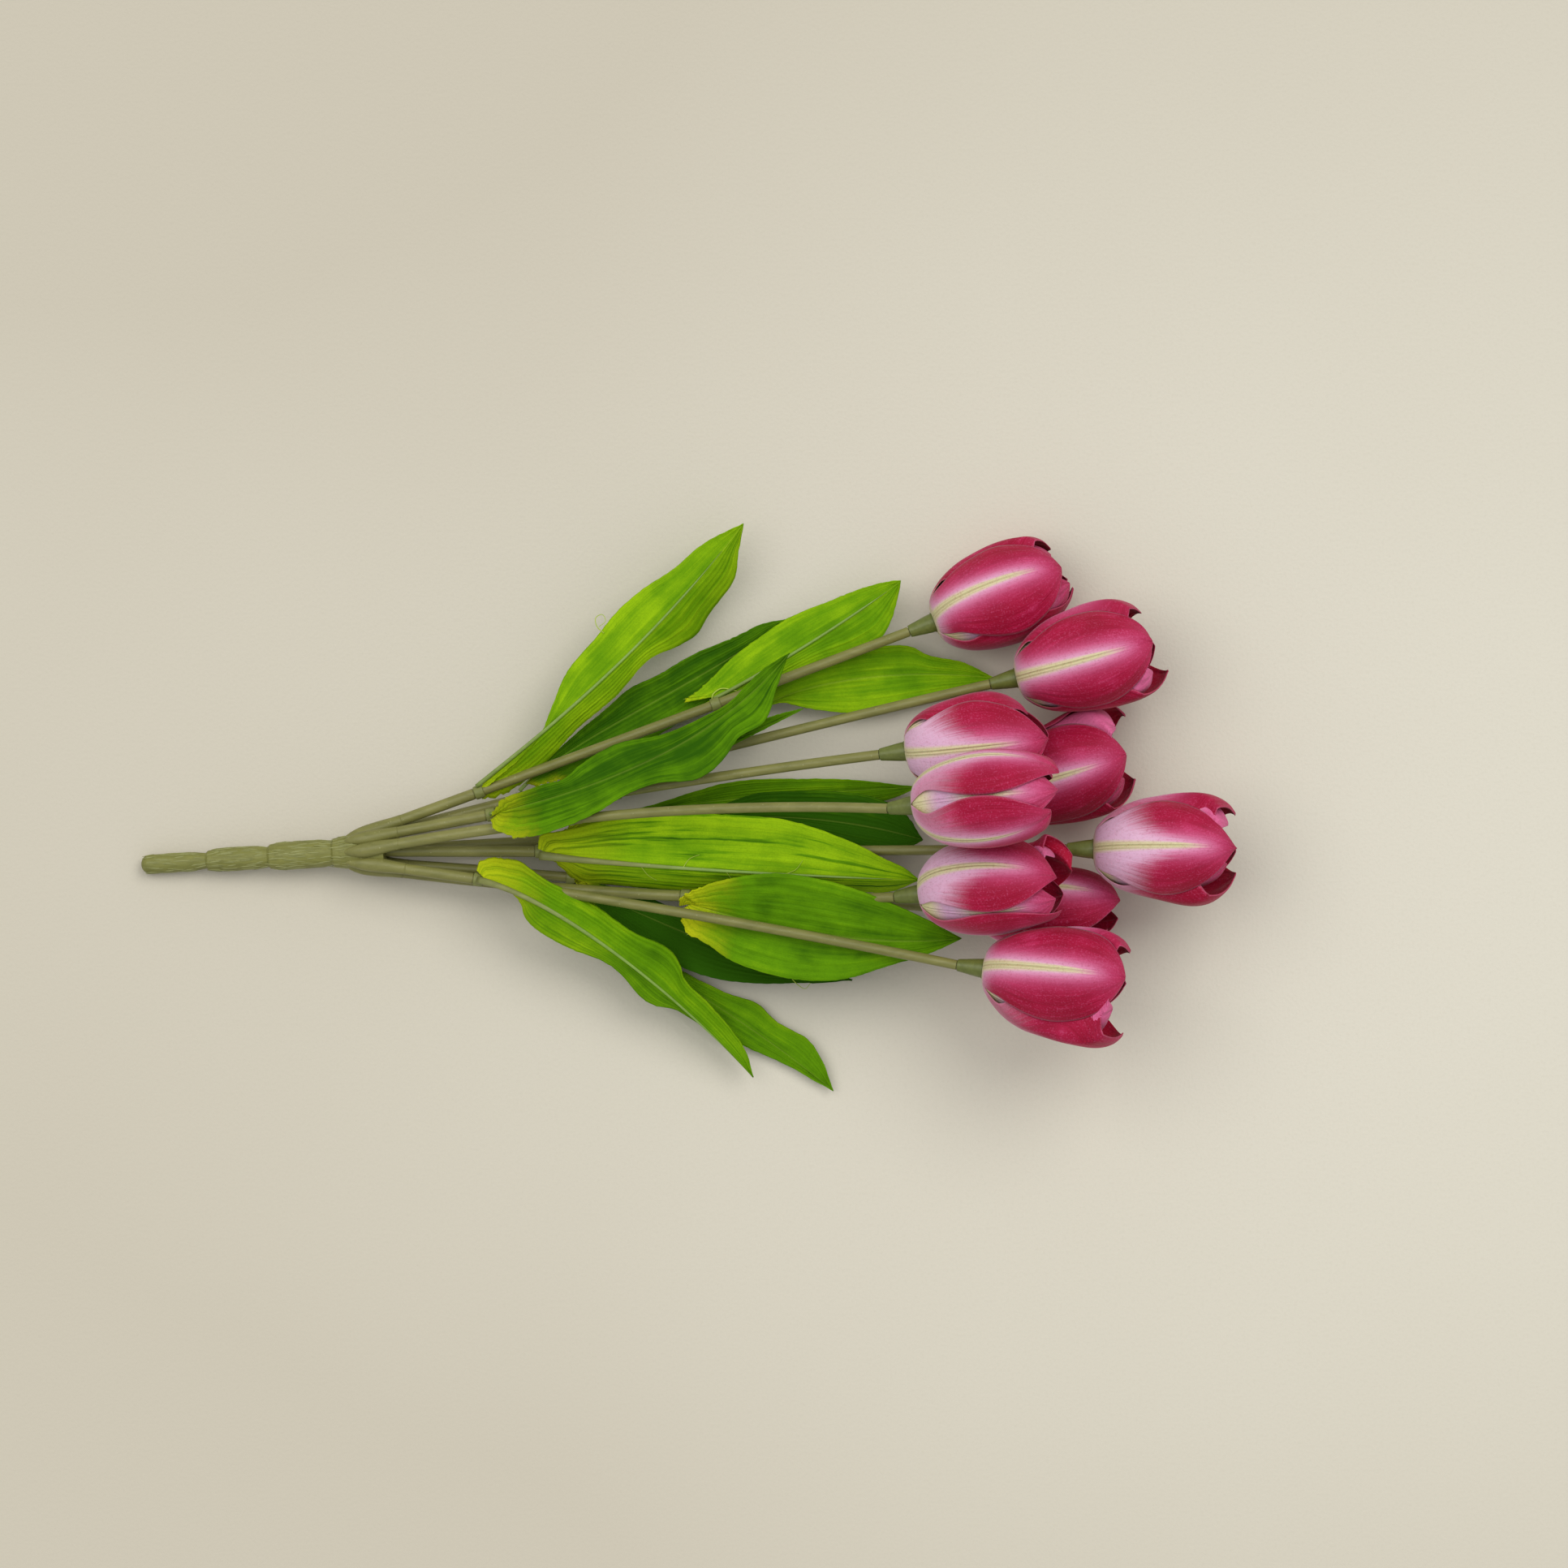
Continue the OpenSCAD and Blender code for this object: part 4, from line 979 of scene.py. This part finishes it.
def scatterTree():
    # long grains laid on a surface: each lies flat on it and points along its field called aim
    tree = bpy.data.node_groups.new("laid grains", "GeometryNodeTree")
    for kind, name in (("Geometry", "Geometry"), ("Float", "Density"), ("Int", "Seed"), ("Vector", "Least"),
                       ("Vector", "Most"), ("Float", "Stray"), ("Material", "Material")):
        tree.interface.new_socket(name, in_out="INPUT", socket_type="NodeSocket" + kind)
    tree.interface.new_socket("Geometry", in_out="OUTPUT", socket_type="NodeSocketGeometry")
    g = Graph(tree)
    given = g.node("NodeGroupInput").outputs

    def out(kind, settings=None, inputs=None):
        return g.node(kind, settings, inputs).outputs

    def random(low, high):
        return out("FunctionNodeRandomValue", {"data_type": "FLOAT_VECTOR"},
                   {0: low, 1: high, "Seed": given["Seed"]})[0]

    points = out("GeometryNodeDistributePointsOnFaces", {"distribute_method": "RANDOM"},
                 {"Mesh": given["Geometry"], "Density": given["Density"], "Seed": given["Seed"]})
    aim = out("GeometryNodeInputNamedAttribute", {"data_type": "FLOAT_VECTOR"}, {"Name": "aim"})[0]
    stray = out("ShaderNodeVectorMath", {"operation": "SCALE"},
                {0: random((-1, -1, -1), (1, 1, 1)), "Scale": given["Stray"]})[0]
    aim = out("ShaderNodeVectorMath", {"operation": "ADD"}, {0: aim, 1: stray})[0]
    flat = out("FunctionNodeAlignRotationToVector", {"axis": "Z"}, {"Vector": points["Normal"]})[0]
    turned = out("FunctionNodeAlignRotationToVector", {"axis": "X", "pivot_axis": "Z"},
                 {"Rotation": flat, "Vector": aim})[0]
    grain = out("GeometryNodeMeshIcoSphere", {}, {"Radius": 1.0, "Subdivisions": 2})[0]
    laid = out("GeometryNodeInstanceOnPoints", {},
               {"Points": points["Points"], "Instance": grain, "Rotation": turned,
                "Scale": random(given["Least"], given["Most"])})[0]
    real = out("GeometryNodeRealizeInstances", {}, {0: laid})[0]
    done = out("GeometryNodeSetMaterial", {}, {"Geometry": real, "Material": given["Material"]})[0]
    g.node("NodeGroupOutput", {}, {0: done})
    return tree


grainTree = scatterTree()


def laidGrains(name, key, verts, faces, aims, slot):
    look = scatterLook[key]
    host = newPiece(name + "_ground", verts, faces)
    aim = host.data.attributes.new("aim", "FLOAT_VECTOR", "POINT")
    aim.data.foreach_set("vector", np.asarray(aims).ravel())
    modifier = host.modifiers.new("grains", "NODES")
    modifier.node_group = grainTree
    for item in grainTree.interface.items_tree:
        if item.in_out == "INPUT" and item.name in look:
            modifier[item.identifier] = look[item.name]
    grown = host.evaluated_get(bpy.context.evaluated_depsgraph_get())
    piece = newObject(name, bpy.data.meshes.new_from_object(grown))
    bpy.data.objects.remove(host)
    finishPiece(piece, look["Material"], "bush", slot)


def barkGrains():
    # only the trunk's sides carry bark, not its tip or the slopes of its grooves
    trunk = frame["nodes"]["trunk"]
    verts = np.array([trunk.matrix_world @ v.co for v in trunk.data.vertices])
    faces = [list(face.vertices) for face in trunk.data.polygons
             if abs(face.normal.dot(Vector(trunkAxis))) < scatterLook["bark"]["steepest"]]
    laidGrains("trunk_bark", "bark", verts, faces, np.tile(trunkAxis, (len(verts), 1)), "trunk")


def footGrains():
    # strips along both edges of every leaf's foot, fibres pointing outwards
    verts, faces, aims = [], [], []
    rows = scatterLook["fray"]["rows"]
    for grid in cloths.values():
        for inside, edge in ((1, 0), (-2, -1)):
            strip = grid[:rows, [inside, edge]]
            faces += gridFaces(rows, 2, len(verts) * 2 * rows)
            verts.append(strip.reshape(-1, 3))
            aims.append(np.repeat(unit(strip[:, 1] - strip[:, 0]), 2, axis=0))
    laidGrains("leaf_fray", "fray", np.concatenate(verts), faces, np.concatenate(aims), "leaf")


barkGrains()
footGrains()

# Loose threads and strands of glue seen on the leaves: the leaf, the places in photo pixels, and the half
# width in mm
threadLook = {"rows": 24, "sides": 8, "smooth": 9, "lift": 0.35, "tip": 0.5}
threads = [
    ("a", [(744, 780), (735, 771), (734, 761), (742, 757), (746, 765), (738, 772)], 0.22),
    ("l", [(976, 1207), (984, 1215), (992, 1219), (999, 1212)], 0.2),
    ("j", [(790, 1068), (799, 1079), (809, 1085)], 0.2),
    ("j", [(841, 1070), (850, 1058), (862, 1053)], 0.18),
    ("j", [(968, 1077), (981, 1071), (989, 1060)], 0.2),
    ("j", [(895, 1074), (901, 1083)], 0.16),
    ("c", [(878, 868), (878, 856), (886, 849), (908, 851)], 0.4),
]


def threadPart(leaf, places, half):
    # a thread lies on its leaf, smoothed over the folds
    top = cloths[leaf].reshape(-1, 3)
    rows, over = threadLook["rows"], threadLook["smooth"]
    path = pathThrough([place(px, 0) for px in places], np.linspace(0, 1, rows))
    near = np.argmin(np.linalg.norm(top[None, :, :2] - path[:, None, :2], axis=-1), axis=1)
    high = np.convolve(np.pad(top[near, 2], over // 2, "edge"), np.ones(over) / over, "valid")
    path[:, 2] = high + (half + threadLook["lift"]) * mm
    return tube(path, half * mm * np.linspace(1, threadLook["tip"], rows), threadLook["sides"])


strands = joined([threadPart(*row) for row in threads], "leaf_threads")
finishPiece(strands, finishes["fray"], "bush", "leaf")
print("grains and threads made:", len(threads))

# Table, light and camera

studio = {
    # middle is the height over the table at which the picture has the photograph's scale
    "cameraHeight": 5.0, "middle": 0.030, "filmWide": 36, "farthest": 50.0,
    # the darker table colour is painted shade, for the table's front, back and left
    "table": linear(216, 211, 196), "tableShaded": linear(199, 192, 175), "tableGrain": linear(192, 186, 168),
    "tableHalf": 3.0, "tableRelief": 0.3 * mm, "fill": 0.52, "fillColour": (0.96, 0.98, 1, 1),
    "sunColour": (1, 0.985, 0.955),
    # name, strength, blur in degrees, and where it shines from
    "suns": [("window", 1.04, 48, (-0.46, 0.22, 1.0)), ("lamp", 1.12, 38, (0.46, 0.52, 1.0))],
}


def tableFinish():
    f = Finish("table paper", roughness=0.85, specular=0.12)
    grain = f.noise(f.spot(), 700.0, 3.0)
    cloud = f.noise(f.spot(), 2.5, 2.0)
    x, y, z = f.split(f.spot())
    right = x.step(-0.3, 0.3)
    far = y.size().step(0.05, 0.42)
    # painted light falloff: the table is painted paler on the right and darker towards the front and back,
    # with a random cloud in it
    pale = 0.2 + right * 0.8 - far * 0.7 + (cloud - 0.5) * 0.6
    colour = f.mix(pale, studio["tableShaded"], studio["table"])
    f.colour(f.mix((grain - 0.5) * 0.5, colour, studio["tableGrain"]))
    f.relief(grain, studio["tableRelief"], 0.5)
    return f.material


corners = np.array([(-1, -1, 0), (1, -1, 0), (1, 1, 0), (-1, 1, 0)]) * studio["tableHalf"]
table = newPiece("table", corners, [[0, 1, 2, 3]], smooth=False)
table.data.materials.append(tableFinish())

for name, strength, blur, away in studio["suns"]:
    sun = bpy.data.lights.new(name, "SUN")
    sun.energy = strength
    sun.angle = math.radians(blur)
    sun.color = studio["sunColour"]
    newObject(name, sun).rotation_euler = Vector(away).to_track_quat("Z", "Y").to_euler()

world = bpy.data.worlds.new("room")
world.use_nodes = True
world.node_tree.nodes["Background"].inputs[0].default_value = studio["fillColour"]
world.node_tree.nodes["Background"].inputs[1].default_value = studio["fill"]
bpy.context.scene.world = world

side = photo["side"] * photo["metresPerPixel"]
centre = place((photo["side"] / 2, photo["side"] / 2), 0)
camera = bpy.data.cameras.new("overhead")
camera.sensor_width = studio["filmWide"]
camera.lens = studio["filmWide"] * (studio["cameraHeight"] - studio["middle"]) / side
camera.clip_end = studio["farthest"]
bpy.context.scene.camera = newObject("overhead", camera)
bpy.context.scene.camera.location = (centre[0], centre[1], studio["cameraHeight"])
bpy.context.scene.view_settings.view_transform = "Standard"
print("studio set")
